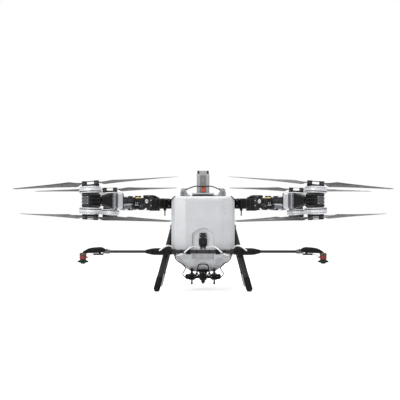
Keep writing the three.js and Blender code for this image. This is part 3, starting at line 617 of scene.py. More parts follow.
def mount_mesh(toe_sign):
    """Local X runs outwards along the arm, and the origin is the middle of the motor stack."""
    piece = Piece("mount")
    half = MOUNT_HEIGHT / 2
    body = rounded(MOUNT_LENGTH - 6, MOUNT_WIDTH - 8, 24, 6)
    piece.prism(body, -half + 1, half - 1, BLACK)
    for z in (-half + 5, -14, 14, half - 5):
        rim = rounded(MOUNT_LENGTH, MOUNT_WIDTH, 26, 6)
        piece.prism(rim, z - 3, z + 3, COATED)
    for side in (-1, 1):
        for i in range(7):
            x = -34 + i * 11.5
            piece.block((3.4, 4, MOUNT_HEIGHT - 12), (x, side * 51.5, 0), BLACK)
        # the two halves of the X-shaped brace behind the block
        for level in (-1, 1):
            piece.skin([[(-106, side * 24, level * 2), (-106, side * 10, level * 2),
                         (-106, side * 10, level * 18), (-106, side * 24, level * 18)],
                        [(-50, side * 50, level * 24), (-50, side * 36, level * 24),
                         (-50, side * 36, level * 43), (-50, side * 50, level * 43)]], BLACK)
            piece.bolt((-58, side * 49, level * 33), (0, side, 0), 3.6)
    # grey outer cover with its louvres
    piece.block((7, 66, 62), (MOUNT_LENGTH / 2 - 3, 0, 0), SLATE)
    for i in range(5):
        piece.block((3, 52, 4.5), (MOUNT_LENGTH / 2 + 0.2, 0, -22 + i * 11), DARK)
    for y in (-28, 28):
        for z in (-26, 26):
            piece.bolt((MOUNT_LENGTH / 2, y, z), (1, 0, 0), 2.6)
    for side in (-1, 1):
        tilt = turn("X", side * toe_sign * TOE)
        if side < 0:
            tilt = tilt @ turn("X", 180)
        base = [(30, half - 8), (64, half - 8), (66, half - 4), (66, half + 3), (62, half + 5.5),
                (46, half + 5.5), (44, half + 8), (30, half + 8)]
        piece.lathe(base, DARK, tilt, 56)
        piece.lathe([(40, half), (STATOR_RADIUS, half + 9.5), (STATOR_RADIUS, half + 38),
                     (40, half + 38)], DARK, tilt, 56)
        for i in range(24):
            at = tilt @ turn("Z", i * 15) @ move(x=STATOR_RADIUS - 5, z=half + 24)
            piece.block((9, 11, 24), (0, 0, 0), COPPER, at, 2)
    # flat wedge that takes the arm tube: a grey foot on the speed controller, then black
    start = WEDGE_START
    foot = [(start, -60), (start, 60), (start + 18, 60), (start + 18, -60)]
    upright = turn("X", 90)  # an outline in XY becomes one in XZ
    piece.prism(foot, -WEDGE_HALF, WEDGE_HALF, SLATE, upright)
    edge = [(start + 18, 60), (start + 24, 59), (NECK_END - 4, 29), (NECK_END, 27),
            (-MOUNT_LENGTH / 2 + 8, 27)]
    wedge = edge[::-1] + [(x, -z) for x, z in edge]
    piece.prism(wedge, -WEDGE_HALF + 2, WEDGE_HALF - 2, BLACK, upright)
    for side in (-1, 1):
        for level in (-1, 1):
            rib = [(start + 20, level * 58), (start + 20, level * 50), (NECK_END, level * 20),
                   (-MOUNT_LENGTH / 2, level * 20), (-MOUNT_LENGTH / 2, level * 27),
                   (NECK_END - 3, level * 27)]
            low, high = sorted((side * (WEDGE_HALF - 4), side * WEDGE_HALF))
            piece.prism(rib, low, high, COATED, upright)
        for x, z in ((start + 9, -48), (start + 9, 48), (start + 9, -16), (start + 9, 16)):
            piece.bolt((x, side * (WEDGE_HALF - 0.5), z), (0, side, 0), 2.6)
        for i in range(4):
            x = start + 38 + i * 22
            reach = 40 - i * 9
            piece.block((4, 3, 2 * reach), (x, side * (WEDGE_HALF - 2), 0), BLACK)
    # three phase wires to each motor
    for level in (-1, 1):
        for i in (-1, 0, 1):
            y = i * 9
            route = [(-118, y * 0.8, level * 30), (-98, y, level * 40), (-80, y * 1.5, level * 50),
                     (-66, y * 2.2, level * 49)]
            piece.tube(route, 3.1, (WIRE, RED_WIRE, WIRE)[i + 1], count=10)
    return piece.data()


# ---- finned speed controllers -----------------------------------------------------------------------
ESC_LENGTH, ESC_WIDTH, ESC_HEIGHT = 100, 58, 127


def esc_mesh():
    """Local X runs along the arm tube; the wide light band is bare aluminium, the thin light band at the
    outer end is a painted highlight on the rounded edge, and the middle is dark.
    """
    piece = Piece("esc")
    core = rounded(ESC_WIDTH - 5, ESC_HEIGHT - 6, 14, 6)
    piece.prism(core, -ESC_LENGTH / 2 + 1, ESC_LENGTH / 2 - 1, DARK, ACROSS)
    shell = rounded(ESC_WIDTH, ESC_HEIGHT, 15, 6)
    piece.prism(rounded(ESC_WIDTH + 1, ESC_HEIGHT, 15, 6), -50, -42, BLACK, ACROSS)
    piece.prism(shell, -40, 13, SINK, ACROSS)
    piece.prism(shell, 15, 43, SLATE, ACROSS)
    # painted highlight: this thin light band stands for the highlight along the rounded outer edge
    piece.prism(shell, 45, 50, SINK, ACROSS)
    for side in (-1, 1):
        for i in range(8):
            x = -36.5 + i * 6.6
            piece.block((2.6, 2.2, ESC_HEIGHT - 36), (x, side * (ESC_WIDTH / 2 + 0.3), 0), SINK)
        for i in range(4):
            x = 19 + i * 6.6
            piece.block((2.2, 2, ESC_HEIGHT - 40), (x, side * (ESC_WIDTH / 2 + 0.2), 0), DARK)
        for x in (-31, 29):
            for z in (-52, 52):
                piece.bolt((x, side * (ESC_WIDTH / 2 - 3.5), z), (0, side, 0), 2.4)
    for i in range(7):
        piece.block((48, 3, 4), (-13.5, -18 + i * 6, ESC_HEIGHT / 2 + 0.5), SINK)
    # cable glands towards the hinge
    for z in (-30, 30):
        piece.lathe([(9, 0), (9, 6), (6.5, 8), (6.5, 12)], BLACK,
                    move(x=-ESC_LENGTH / 2 + 1, z=z) @ turn("Y", -90), 18)
    return piece.data()


# ---- arms -------------------------------------------------------------------------------------------
ARM_LENGTH = (rotor_frame("front_left", "upper").translation
              - arm_frame("front_left").translation).xy.length
TUBE_RADIUS = 20.5
KNUCKLE_RADIUS, KNUCKLE_HALF = 28, 25


def arm_mesh():
    piece = Piece("arm")
    piece.rod((60, 0, 0), (ARM_LENGTH - 24, 0, 0), TUBE_RADIUS, CARBON, count=40)
    knuckle = [(9, -KNUCKLE_HALF), (KNUCKLE_RADIUS - 2, -KNUCKLE_HALF),
               (KNUCKLE_RADIUS, -KNUCKLE_HALF + 2), (KNUCKLE_RADIUS, KNUCKLE_HALF - 2),
               (KNUCKLE_RADIUS - 2, KNUCKLE_HALF), (9, KNUCKLE_HALF)]
    piece.lathe(knuckle, COATED, ABOUT_Y, 40, loop=True)
    piece.block((40, 2 * KNUCKLE_HALF - 2, 48), (28, 0, 1), COATED)
    for side in (-1, 1):
        piece.block((34, 3, 30), (40, side * (KNUCKLE_HALF - 0.5), 0), BLACK)
    collar = rounded(68, 66, 18, 6)
    piece.prism(collar, 46, 60, COATED, ACROSS)
    piece.prism(rounded(62, 60, 18, 6), 58, 76, BLACK, ACROSS)
    piece.prism(collar, 74, 87, COATED, ACROSS)
    for x in (53, 80.5):
        for y in (-22, 22):
            piece.bolt((x, y, 32.5), UP, 3)
            piece.bolt((x, y, -32.5), -UP, 3)
    clamp = [(x, y - 12) for x, y in rounded(56, 56, 14, 6)]
    piece.prism(clamp, 88, 127, BLACK, ACROSS)
    for x in (97, 118):
        for side in (-1, 1):
            piece.bolt((x, side * 27.5, -14), (0, side, 0), 3.2)
    # dark wedge and pale cable cover under the tube
    piece.skin([[(48, -16, -32), (48, 16, -32), (48, 16, -40), (48, -16, -40)],
                [(78, -17, -32), (78, 17, -32), (78, 17, -60), (78, -17, -60)],
                [(112, -17, -32), (112, 17, -32), (112, 17, -62), (112, -17, -62)],
                [(150, -13, -26), (150, 13, -26), (150, 13, -36), (150, -13, -36)]], BLACK)
    cover = [(128, 0, -28), (150, 0, -27), (190, 0, -27), (226, 0, -32), (262, 0, -46)]
    piece.tube(cover, 10.5, PALE, count=18)
    piece.skin([[(150, -12, -36), (150, 12, -36), (150, 12, -50), (150, -12, -50)],
                [(196, -12, -38), (196, 12, -38), (196, 12, -62), (196, -12, -62)],
                [(236, -10, -44), (236, 10, -44), (236, 10, -62), (236, -10, -62)]], SLATE)
    for side in (-1, 1):
        piece.block((38, 3, 9), (112, side * 28.4, -30), GREY)
        # yellow lock tags along the collar, with black grips over them
        piece.block((64, 9, 7), (84, side * 25, 27), YELLOW)
        piece.block((26, 12, 11), (60, side * 17, 38), BLACK, corner=3)
    # wires tied to the tube
    for y, z, finish in ((-12, 21, WIRE), (0, 25, PURPLE_WIRE), (12, 21, WIRE)):
        route = [(80, y, z + 4), (120, y, z), (180, y, z), (230, y, z), (262, y, z + 6)]
        piece.tube(route, 3.4, finish, count=10)
    for x in (145, 205):
        ring = [(TUBE_RADIUS, 0), (TUBE_RADIUS + 1.5, 0), (TUBE_RADIUS + 1.5, 5), (TUBE_RADIUS, 5)]
        piece.lathe(ring, BLACK, move(x=x) @ ABOUT_X, 32, loop=True)
        piece.block((6, 30, 3), (x + 2.5, 0, 29), BLACK)
    return piece.data()


# ---- arm lock levers --------------------------------------------------------------------------------
LATCH_X, LATCH_Z, LATCH_LENGTH, LATCH_WIDTH = -40, 42, 116, 34


def latch_mesh():
    piece = Piece("latch")
    rings = []
    steps = 14
    for i in range(steps + 1):
        t = i / steps
        x = 4 - t * (LATCH_LENGTH + 4)
        top = 8.5 - 6 * t ** 3 + 1.5 * math.sin(math.pi * t)
        low = -3.5 - 0.6 * math.sin(math.pi * t)
        half = LATCH_WIDTH / 2 * (1 - 0.16 * t ** 4) - 0.4
        rings.append([(x, y * half, low + (top - low) * z) for y, z in
                      ((-1, 0), (1, 0), (1, 0.6), (0.86, 0.92), (0.5, 1), (-0.5, 1), (-0.86, 0.92),
                       (-1, 0.6))])
    piece.skin(rings, COATED)
    piece.lathe([(5, -LATCH_WIDTH / 2), (9, -LATCH_WIDTH / 2), (9, LATCH_WIDTH / 2),
                 (5, LATCH_WIDTH / 2)], COATED, ABOUT_Y, 28, loop=True)
    for i in range(7):
        x = -LATCH_LENGTH + 12 + i * 6
        piece.block((2.6, LATCH_WIDTH - 10, 2.4), (x, 0, 5.2 + i * 0.75), BLACK)
    piece.block((34, 16, 2), (-42, 0, 9.3), GREY)
    return piece.data()


# ---- frame sides: a rail with a front and a rear arm root -------------------------------------------
RAIL_X, RAIL_WIDTH, RAIL_FRONT, RAIL_REAR, RAIL_LOW, RAIL_HIGH = 235, 44, -205, 450, 668, 738
ROOT_TOP, ROOT_LOW, ROOT_WIDTH, ROOT_LENGTH = 28, -54, 76, 330
EAR_RADIUS, EAR_NEAR, EAR_FAR = 31, 25.3, 37.3
ANTENNA = Vector((314, -140, 0))
LEG_TOP = {-1: Vector((228, -150, 578)), 1: Vector((228, 235, 578))}
LEG_FOOT = {-1: Vector((372, -330, 23)), 1: Vector((372, 300, 23))}
BRACKET_LOW = 618


def root_shapes(piece, at):
    """One arm root, in its arm's frame: a ribbed beam, two ears with the pin, and the latch lugs."""
    along_beam = at @ turn("Z", 90) @ turn("X", 90)
    middle = (ROOT_TOP + ROOT_LOW) / 2
    height = ROOT_TOP - ROOT_LOW
    beam = [(x, y + middle) for x, y in rounded(ROOT_WIDTH - 6, height - 4, 15, 6)]
    rim = [(x, y + middle) for x, y in rounded(ROOT_WIDTH, height, 16, 6)]
    piece.prism(beam, -ROOT_LENGTH, -40, BLACK, along_beam)
    for low, high in ((-66, -38), (-112, -104), (-168, -160), (-228, -220), (-300, -262)):
        piece.prism(rim, low, high, COATED, along_beam)
    for side in (-1, 1):
        face = side * (ROOT_WIDTH / 2 - 2.5)
        for z in (ROOT_TOP - 22, middle, ROOT_LOW + 22):
            piece.block((168, 4, 4), (-150, face, z), BLACK, at)
        for x in (-52, -280):
            for z in (ROOT_TOP - 20, ROOT_LOW + 20):
                piece.bolt((x, side * (ROOT_WIDTH / 2 - 0.5), z), (0, side, 0), 3.8, at=at)
    # open lattice under the beam
    for i in range(8):
        lean = 7 if i % 2 else -7
        x = -64 - i * 13
        piece.skin([[(x - 2, -20, ROOT_LOW + 2), (x + 2, -20, ROOT_LOW + 2),
                     (x + 2, 20, ROOT_LOW + 2), (x - 2, 20, ROOT_LOW + 2)],
                    [(x + lean - 2, -20, ROOT_LOW - 13), (x + lean + 2, -20, ROOT_LOW - 13),
                     (x + lean + 2, 20, ROOT_LOW - 13), (x + lean - 2, 20, ROOT_LOW - 13)]],
                   DARK, at)
    piece.block((106, 44, 4), (-108, 0, ROOT_LOW - 14), COATED, at)
    # ears, pin and its heads
    for side in (-1, 1):
        low, high = sorted((side * EAR_NEAR, side * EAR_FAR))
        ear = [(8.2, low), (EAR_RADIUS - 2, low), (EAR_RADIUS, low + 2), (EAR_RADIUS, high - 2),
               (EAR_RADIUS - 2, high), (8.2, high)]
        piece.lathe(ear, COATED, at @ ABOUT_Y, 40, loop=True)
        piece.block((50, EAR_FAR - EAR_NEAR, 54), (-24, (low + high) / 2, 0), COATED, at)
        head = [(17, 0), (17, 4), (15, 6.5), (9, 6.5), (8.4, 3.5)]
        facing = ABOUT_Y if side > 0 else turn("X", 90)
        piece.lathe(head, STEEL, at @ move(y=side * (EAR_FAR - 0.5)) @ facing, 30)
        lug_low, lug_high = sorted((side * (LATCH_WIDTH / 2 + 1), side * (LATCH_WIDTH / 2 + 9)))
        lug = at @ move(LATCH_X, 0, LATCH_Z) @ ABOUT_Y
        piece.lathe([(4, lug_low), (9.5, lug_low), (9.5, lug_high), (4, lug_high)], COATED, lug, 24,
                    loop=True)
        piece.block((42, 8, 26), (LATCH_X - 13, (lug_low + lug_high) / 2, ROOT_TOP + 1), COATED, at)
    piece.lathe([(8, -EAR_FAR), (8, EAR_FAR)], STEEL, at @ ABOUT_Y, 24)
    end = LATCH_WIDTH / 2 + 9.5
    piece.lathe([(4, -end), (4, end)], STEEL, at @ move(LATCH_X, 0, LATCH_Z) @ ABOUT_Y, 18)
    # catch under the tip of the lever
    piece.block((16, 30, 11), (LATCH_X - LATCH_LENGTH + 4, 0, ROOT_TOP + 4), BLACK, at)


def frame_side_mesh(side):
    piece = Piece("frame_side")
    at = flip(side)
    prefix = "left" if side > 0 else "right"
    length = RAIL_REAR - RAIL_FRONT
    centre_y = (RAIL_REAR + RAIL_FRONT) / 2
    middle_z = (RAIL_LOW + RAIL_HIGH) / 2
    along_rail = at @ move(RAIL_X, centre_y, middle_z) @ turn("X", -90)
    outline = rounded(RAIL_WIDTH, RAIL_HIGH - RAIL_LOW, 9, 5)
    piece.prism(outline, -length / 2 + 4, length / 2 - 4, CARBON, along_rail)
    for y in (-length / 2 + 2, length / 2 - 2):
        cap = rounded(RAIL_WIDTH - 0.5, RAIL_HIGH - RAIL_LOW - 0.5, 9, 5)
        piece.prism(cap, y - 2, y + 2, BLACK, along_rail)
    for y in range(-170, 440, 55):
        for x in (-13, 13):
            piece.bolt((RAIL_X + x, y, RAIL_HIGH - 0.5), UP, 2.6, at=at)
    for corner in (f"front_{prefix}", f"rear_{prefix}"):
        root_shapes(piece, arm_frame(corner))
    # plates that join the roots to the rail
    for end, y in ((-1, -85), (1, 100)):
        plate = [(RAIL_X - 18, -44), (RAIL_X - 18, 40), (RAIL_X + 60, 116), (RAIL_X + 92, 96),
                 (RAIL_X + 76, 48)]
        piece.prism([(x, y + end * dy) for x, dy in plate], RAIL_HIGH - 1, RAIL_HIGH + 5, COATED, at)
        for x, dy in ((RAIL_X, 20), (RAIL_X, -20), (RAIL_X + 66, 84)):
            piece.bolt((x, y + end * dy, RAIL_HIGH + 4.5), UP, 3.4, at=at)
    # leg brackets
    for end in (-1, 1):
        y = LEG_TOP[end].y
        piece.block((RAIL_WIDTH + 4, 68, RAIL_LOW - BRACKET_LOW + 4),
                    (RAIL_X, y, (RAIL_LOW + BRACKET_LOW) / 2 + 2), COATED, at, 7)
        for dy in (-24, 24):
            for z in (BRACKET_LOW + 12, RAIL_LOW - 8):
                piece.bolt((RAIL_X + RAIL_WIDTH / 2 + 1.5, y + dy, z), (1, 0, 0), 3.6, at=at)
    # pads that carry the tank
    for y in (-110, 70):
        piece.block((16, 60, 40), (206.5, y, 704), WIRE, at, 4)
    # antenna under the front root
    foot = ANTENNA + Vector((0, 0, 655))
    piece.lathe([(12, 35), (12, 4), (10, 0), (6, -2), (5, -8), (4.5, -10), (4.5, -44), (3, -45)],
                BLACK, at @ Matrix.Translation(foot), 24)
    return piece.data()


# ---- landing legs -----------------------------------------------------------------------------------
LEG_RADIUS = 23
SHOE_SHARE = 0.16
SOLE = 0.4  # the flat underside of a shoe


def leg_mesh(side, end):
    piece = Piece("leg")
    at = flip(side)
    foot, top = LEG_FOOT[end], LEG_TOP[end]
    line, length = along(foot, top)
    shoe_length = SHOE_SHARE * length
    rubber = BLACK if end < 0 else PALE
    shoe = [(4, -25), (14, -22), (22, -13), (25.5, -4), (26, 0), (26, 18), (24.6, 20), (24.6, 24),
            (26, 26), (26, shoe_length - 14), (25, shoe_length - 12), (25, shoe_length - 8),
            (26, shoe_length - 6), (26, shoe_length - 2), (24, shoe_length)]
    piece.lathe(shoe, rubber, at @ line, 40)
    # the shoe ends in a flat sole
    everything = piece.mesh.faces[:] + piece.mesh.edges[:] + piece.mesh.verts[:]
    bmesh.ops.bisect_plane(piece.mesh, geom=everything, plane_co=(0, 0, SOLE), plane_no=(0, 0, -1),
                           clear_outer=True)
    rim = [edge for edge in piece.mesh.edges if edge.is_boundary]
    if rim:
        bmesh.ops.contextual_create(piece.mesh, geom=rim)
    piece.rod(foot.lerp(top, 0.05), top, LEG_RADIUS, CARBON, at, count=40)
    # clamp ring over the shoe, cable clip and socket
    piece.lathe([(23.2, -4), (26, -3), (26, 3), (23.2, 4)], COATED,
                at @ line @ move(z=shoe_length + 14), 36, loop=True)
    piece.lathe([(23.2, -9), (27, -8), (27, 8), (23.2, 9)], COATED,
                at @ line @ move(z=length - 62), 36, loop=True)
    socket_height = BRACKET_LOW - 0.3 - (top.z - 34)
    piece.block((52, 60, socket_height), (top.x, top.y, top.z - 34 + socket_height / 2), COATED, at, 9)
    for dy in (-20, 20):
        for dz in (-22, 12):
            piece.bolt((top.x + 25.5, top.y + dy, top.z + dz), (1, 0, 0), 3.8, at=at)
            piece.bolt((top.x - 25.5, top.y + dy, top.z + dz), (-1, 0, 0), 3.8, at=at)
    return piece.data()


# ---- liquid tank ------------------------------------------------------------------------------------
LID_PIVOT = Vector(JOINTS["tank_lid_hinge"]["pos_m"]) / MM
MOUTH_Y, TANK_TOP = -120, 770


def rounded_copy(node, voxel, passes, keep):
    """The CAD node's shape with every edge rounded, as blow moulding leaves it."""
    source = bpy.data.objects.new("moulding", frame["nodes"][node].data.copy())
    bpy.context.collection.objects.link(source)
    remesh = source.modifiers.new("remesh", "REMESH")
    remesh.mode = "VOXEL"
    remesh.voxel_size = voxel
    smooth = source.modifiers.new("smooth", "SMOOTH")
    smooth.factor = 0.5
    smooth.iterations = passes
    thin = source.modifiers.new("thin", "DECIMATE")
    thin.ratio = keep
    bpy.context.view_layer.update()
    evaluated = source.evaluated_get(bpy.context.evaluated_depsgraph_get())
    mesh = bpy.data.meshes.new_from_object(evaluated)
    bpy.data.objects.remove(source)
    mesh.materials.clear()
    mesh.materials.append(TANK)
    mesh.shade_smooth()
    return mesh


def tank_fittings_mesh():
    """Mouth ring, lid hinge, corner clips and the outlet of the tank."""
    piece = Piece("tank_fittings")
    mouth = move(0, MOUTH_Y, TANK_TOP)
    piece.lathe([(78, -34), (84, -34), (84, -2), (79, 0), (76, 0), (76, -30)], BLACK, mouth, 64,
                loop=True)
    for i in range(3):
        ring = [(75, -8 - i * 8), (76.5, -6 - i * 8), (76.5, -10 - i * 8)]
        piece.lathe(ring, BLACK, mouth, 64, loop=True)
    for side in (-1, 1):
        low, high = sorted((side * 23.7, side * 36.5))
        at = move(0, LID_PIVOT.y, LID_PIVOT.z) @ ABOUT_X
        piece.lathe([(4, low), (9.5, low), (9.5, high), (4, high)], BLACK, at, 26, loop=True)
        x = (low + high) / 2
        piece.block((high - low, 19, LID_PIVOT.z - TANK_TOP + 2),
                    (x, LID_PIVOT.y, (TANK_TOP + LID_PIVOT.z) / 2 - 3), BLACK)
        piece.block((high - low + 8, 34, 4), (x, LID_PIVOT.y, TANK_TOP), BLACK, corner=4)
        for dy in (-13, 13):
            piece.bolt((x, LID_PIVOT.y + dy, TANK_TOP + 1.5), UP, 2.4)
        # clip over each front top corner
        clip = flip(side) @ move(236, -262, TANK_TOP - 12)
        lower = [(-12, -18, 9), (-12, 18, 9), (18, 18, -16), (18, -18, -16)]
        upper = [(-7, -16, 14), (-7, 16, 14), (22, 16, -12), (22, -16, -12)]
        piece.skin([lower, upper], BLACK, clip)
    piece.lathe([(4, -40), (4, 40)], STEEL, move(0, LID_PIVOT.y, LID_PIVOT.z) @ ABOUT_X, 20)
    # outlet flange over the pumps
    piece.lathe([(46, 150.2), (54, 150.5), (54, 157), (40, 166), (30, 168)], BLACK,
                move(0, -134, 0), 40)
    return piece.data()


def lid_mesh():
    piece = Piece("lid")
    centre = move(0, MOUTH_Y, TANK_TOP + 0.4)
    piece.lathe([(2, 0), (88, 0), (91.5, 2), (92, 4), (92, 9.5), (88, 14), (84, 15.8), (67, 15.8),
                 (64, 13), (60, 11.8), (24, 11.4), (22, 13), (18, 14.4), (2, 14.8)], BLACK, centre, 72)
    for i in range(36):
        piece.block((2.4, 5.5, 6), (90.4, 0, 6.4), BLACK, centre @ turn("Z", i * 10))
    for i in range(6):
        piece.block((38, 5, 3.4), (42, 0, 12.6), BLACK, centre @ turn("Z", i * 60 + 30))
    # breather in the middle of the lid
    piece.lathe([(12, 13), (12, 15), (9, 16), (3, 16)], COATED, centre, 28)
    reach = LID_PIVOT.y - MOUTH_Y - 80
    piece.block((44, reach, 8), (0, LID_PIVOT.y - reach / 2, LID_PIVOT.z - 2), BLACK)
    knuckle = move(0, LID_PIVOT.y, LID_PIVOT.z) @ ABOUT_X
    piece.lathe([(4.8, -22), (9, -22), (9, 22), (4.8, 22)], BLACK, knuckle, 28, loop=True)
    return piece.data()


# ---- battery and its bay ----------------------------------------------------------------------------
BATTERY_WIDTH, BATTERY_FRONT, BATTERY_REAR, BATTERY_LOW, BATTERY_TOP = 108, 195, 430, 560, 998
BAY_WALL, BAY_CLEARANCE, BAY_TOP = 12, 2, 770
EAR_X, COWL_TOP = 167, 845


def battery_mesh():
    piece = Piece("battery")
    depth = BATTERY_REAR - BATTERY_FRONT
    at = move(0, (BATTERY_FRONT + BATTERY_REAR) / 2)
    body = rounded(BATTERY_WIDTH, depth, 11, 6)
    piece.prism(body, BATTERY_LOW + 26, BATTERY_TOP - 28, BATTERY_SHELL, at)
    piece.prism(rounded(BATTERY_WIDTH - 3, depth - 3, 11, 6), BATTERY_LOW, BATTERY_LOW + 28, BLACK, at)
    # the crown is two cheeks with a bar between them, so a hand fits round the bar
    for end in (-1, 1):
        piece.block((BATTERY_WIDTH - 9, 50, 29), (0, end * (depth / 2 - 31), BATTERY_TOP - 14.5),
                    BATTERY_SHELL, at, 9)
    piece.block((30, depth - 90, 17), (0, 0, BATTERY_TOP - 9), BLACK, at, 5)
    for y in range(-54, 60, 9):
        piece.block((31, 3.4, 14), (0, y, BATTERY_TOP - 9), WIRE, at)
    for end in (-1, 1):
        face = end * depth / 2
        # dark panel down the middle of each end, between two pale pillars
        piece.block((50, 5, 352), (0, face - end * 1.2, 782), BATTERY_PANEL, at)
        for x in (-1, 1):
            piece.block((21, 6, 356), (x * 37.5, face - end * 2.2, 782), BATTERY_SHELL, at)
            piece.block((15, 14, 24), (x * 41, face - end * 8.2, BATTERY_TOP - 13), BLACK, at, 3)
            piece.bolt((x * 38, face + end * 0.6, BATTERY_TOP - 44), (0, end, 0), 3, at=at)
    for side in (-1, 1):
        for i in range(4):
            y = -72 + i * 48
            piece.block((2.4, 34, 330), (side * (BATTERY_WIDTH / 2 - 0.8), y, 782), BATTERY_SHELL, at)
    # orange release lever low on the front
    lever = move(0, BATTERY_FRONT)
    piece.block((30, 9, 52), (2, -3.5, 842), ORANGE, lever, 3)
    piece.block((38, 12, 12), (2, -4.5, 824), ORANGE, lever, 3)
    piece.lathe([(7, 0), (7, 9), (5, 11)], RED, lever @ move(2, -5, 858) @ turn("X", 90), 24)
    # charge button
    piece.lathe([(9, 0), (9, 3), (7, 4)], GREY, lever @ move(0, 2, 912) @ turn("X", 90), 28)
    return piece.data()


def bay_mesh():
    piece = Piece("bay")
    front = BATTERY_FRONT - BAY_CLEARANCE - BAY_WALL
    rear = BATTERY_REAR + BAY_CLEARANCE + BAY_WALL
    half = BATTERY_WIDTH / 2 + BAY_CLEARANCE + BAY_WALL
    low = BATTERY_LOW - BAY_CLEARANCE - BAY_WALL
    at = move(0, (front + rear) / 2)
    outer = rounded(2 * half, rear - front, 12, 5)
    inner = rounded(2 * (half - BAY_WALL), rear - front - 2 * BAY_WALL, 5, 5)
    rim = rounded(2 * half + 8, rear - front + 8, 14, 5)
    band = rounded(2 * half + 3, rear - front + 3, 13, 5)
    piece.frame(outer, inner, low + BAY_WALL, BAY_TOP - 1, DARK, at)
    piece.prism(outer, low, low + BAY_WALL, DARK, at)
    piece.frame(rim, inner, BAY_TOP - 16, BAY_TOP, GREY, at)
    for z in (low + 40, low + 90, low + 140):
        piece.frame(band, outer, z, z + 8, BLACK, at)
    # cross arms out to the rails
    reach = RAIL_X - RAIL_WIDTH / 2 - 0.5
    for y in (front + 22, rear - 22):
        for side in (-1, 1):
            arm_at = move((half + reach) / 2 * side, y, 705)
            piece.block((reach - half + 8, 40, 46), (0, 0, 0), DARK, arm_at, 6)
            piece.block((reach - half, 44, 5), (0, 0, 22), BLACK, arm_at, 5)
            for dx in (-38, 38):
                for dy in (-14, 14):
                    piece.bolt((dx, dy, 24), UP, 3.2, at=arm_at)
    cowl_y = front - 15
    for side in (-1, 1):
        upright = flip(side) @ move(0, cowl_y, 0) @ turn("X", 90)
        ear = [(EAR_X - 30, 737), (EAR_X + 22, 737), (EAR_X + 24, COWL_TOP - 26),
               (EAR_X + 19, COWL_TOP - 6), (EAR_X + 9, COWL_TOP), (EAR_X - 12, COWL_TOP),
               (EAR_X - 21, COWL_TOP - 7), (EAR_X - 26, COWL_TOP - 30), (EAR_X - 36, COWL_TOP - 44)]
        piece.prism(ear, -16, 16, GREY, upright)
        for i in range(3):
            piece.block((22, 4, 3), (EAR_X + 3, COWL_TOP - 32 - i * 14, 16.2), DARK, upright)
        piece.prism([(EAR_X + 20, 752), (EAR_X + 26, 752), (EAR_X + 26, 812), (EAR_X + 22, 816)],
                    -13, 13, DARK, upright)
        bar = [(86, 742), (EAR_X - 24, 742), (EAR_X - 24, 796), (96, 790)]
        piece.prism(bar, -12, 12, PALE, upright)
        piece.prism([(92, 752), (EAR_X - 30, 752), (EAR_X - 30, 758), (92, 758)], 11, 13.4, DARK,
                    upright)
        piece.bolt((side * (EAR_X + 4), cowl_y - 15, COWL_TOP - 14), (0, -1, 0), 4)
    # front panel with its louvres
    panel = move(0, front - 34)
    piece.block((190, 12, 66), (0, 0, 773), PALE, panel)
    for i in range(4):
        piece.block((168, 3, 5), (0, -6, 752 + i * 13), GREY, panel)
    piece.block((22, 12, 22), (-100, -1, 786), WHITE, panel, 3)
    piece.block((170, 34, 8), (0, 22, 802), GREY, panel)
    # carrying strap arched between the ears
    arch = [(-EAR_X + 16, cowl_y - 1, COWL_TOP - 12), (-104, cowl_y - 3, 852), (-60, cowl_y - 3, 864),
            (0, cowl_y - 3, 861), (60, cowl_y - 3, 864), (104, cowl_y - 3, 852),
            (EAR_X - 16, cowl_y - 1, COWL_TOP - 12)]
    piece.tube(arch, 4.5, WIRE, count=14)
    for side in (-1, 1):
        piece.lathe([(7, 0), (8, 4), (8, 14), (6, 18)], BLACK,
                    move(side * (EAR_X - 14), cowl_y - 1, COWL_TOP - 13) @ turn("Y", -side * 62), 20)
    return piece.data()


# ---- spray boom -------------------------------------------------------------------------------------
BOOM_Y, BOOM_Z, BOOM_RADIUS, BOOM_HALF = -338, 322, 16, 246
SOCKET_END, TUBE_END, THIN_RADIUS = 462, 748, 11
NOZZLE_X, NOZZLE_TOP = 965, 358
DISC_LOW, DISC_TOP, DISC_RADIUS = 224, 260, 44


def boom_centre_mesh():
    piece = Piece("boom_centre")
    piece.rod((-BOOM_HALF, BOOM_Y, BOOM_Z), (BOOM_HALF, BOOM_Y, BOOM_Z), BOOM_RADIUS, CARBON, count=40)
    for side in (-1, 1):
        at = move(side * 118, BOOM_Y, BOOM_Z) @ ABOUT_X
        collar = [(BOOM_RADIUS, -16), (24, -16), (25, -14), (25, -6), (22, -5), (22, 5), (25, 6),
                  (25, 14), (24, 16), (BOOM_RADIUS, 16)]
        piece.lathe(collar, BLACK, at, 36, loop=True)
        piece.block((26, 18, 12), (side * 118, BOOM_Y + 16, BOOM_Z + 12), BLACK, corner=4)
        piece.bolt((side * 118, BOOM_Y - 8, BOOM_Z + 22), UP, 3.4)
        end = move(side * (BOOM_HALF - 15), BOOM_Y, BOOM_Z) @ ABOUT_X
        piece.lathe([(BOOM_RADIUS, -14), (22, -13), (22, 13), (BOOM_RADIUS, 14)], COATED, end, 36,
                    loop=True)
        for x in (52, 176):
            clip = move(side * x, BOOM_Y, BOOM_Z) @ ABOUT_X
            piece.lathe([(BOOM_RADIUS, -4), (BOOM_RADIUS + 2.5, -3.5), (BOOM_RADIUS + 2.5, 3.5),
                         (BOOM_RADIUS, 4)], BLACK, clip, 32, loop=True)
    # saddle under the flow meter
    piece.block((44, 24, 18), (0, BOOM_Y + 18, BOOM_Z + 7), BLACK, corner=5)
    return piece.data()


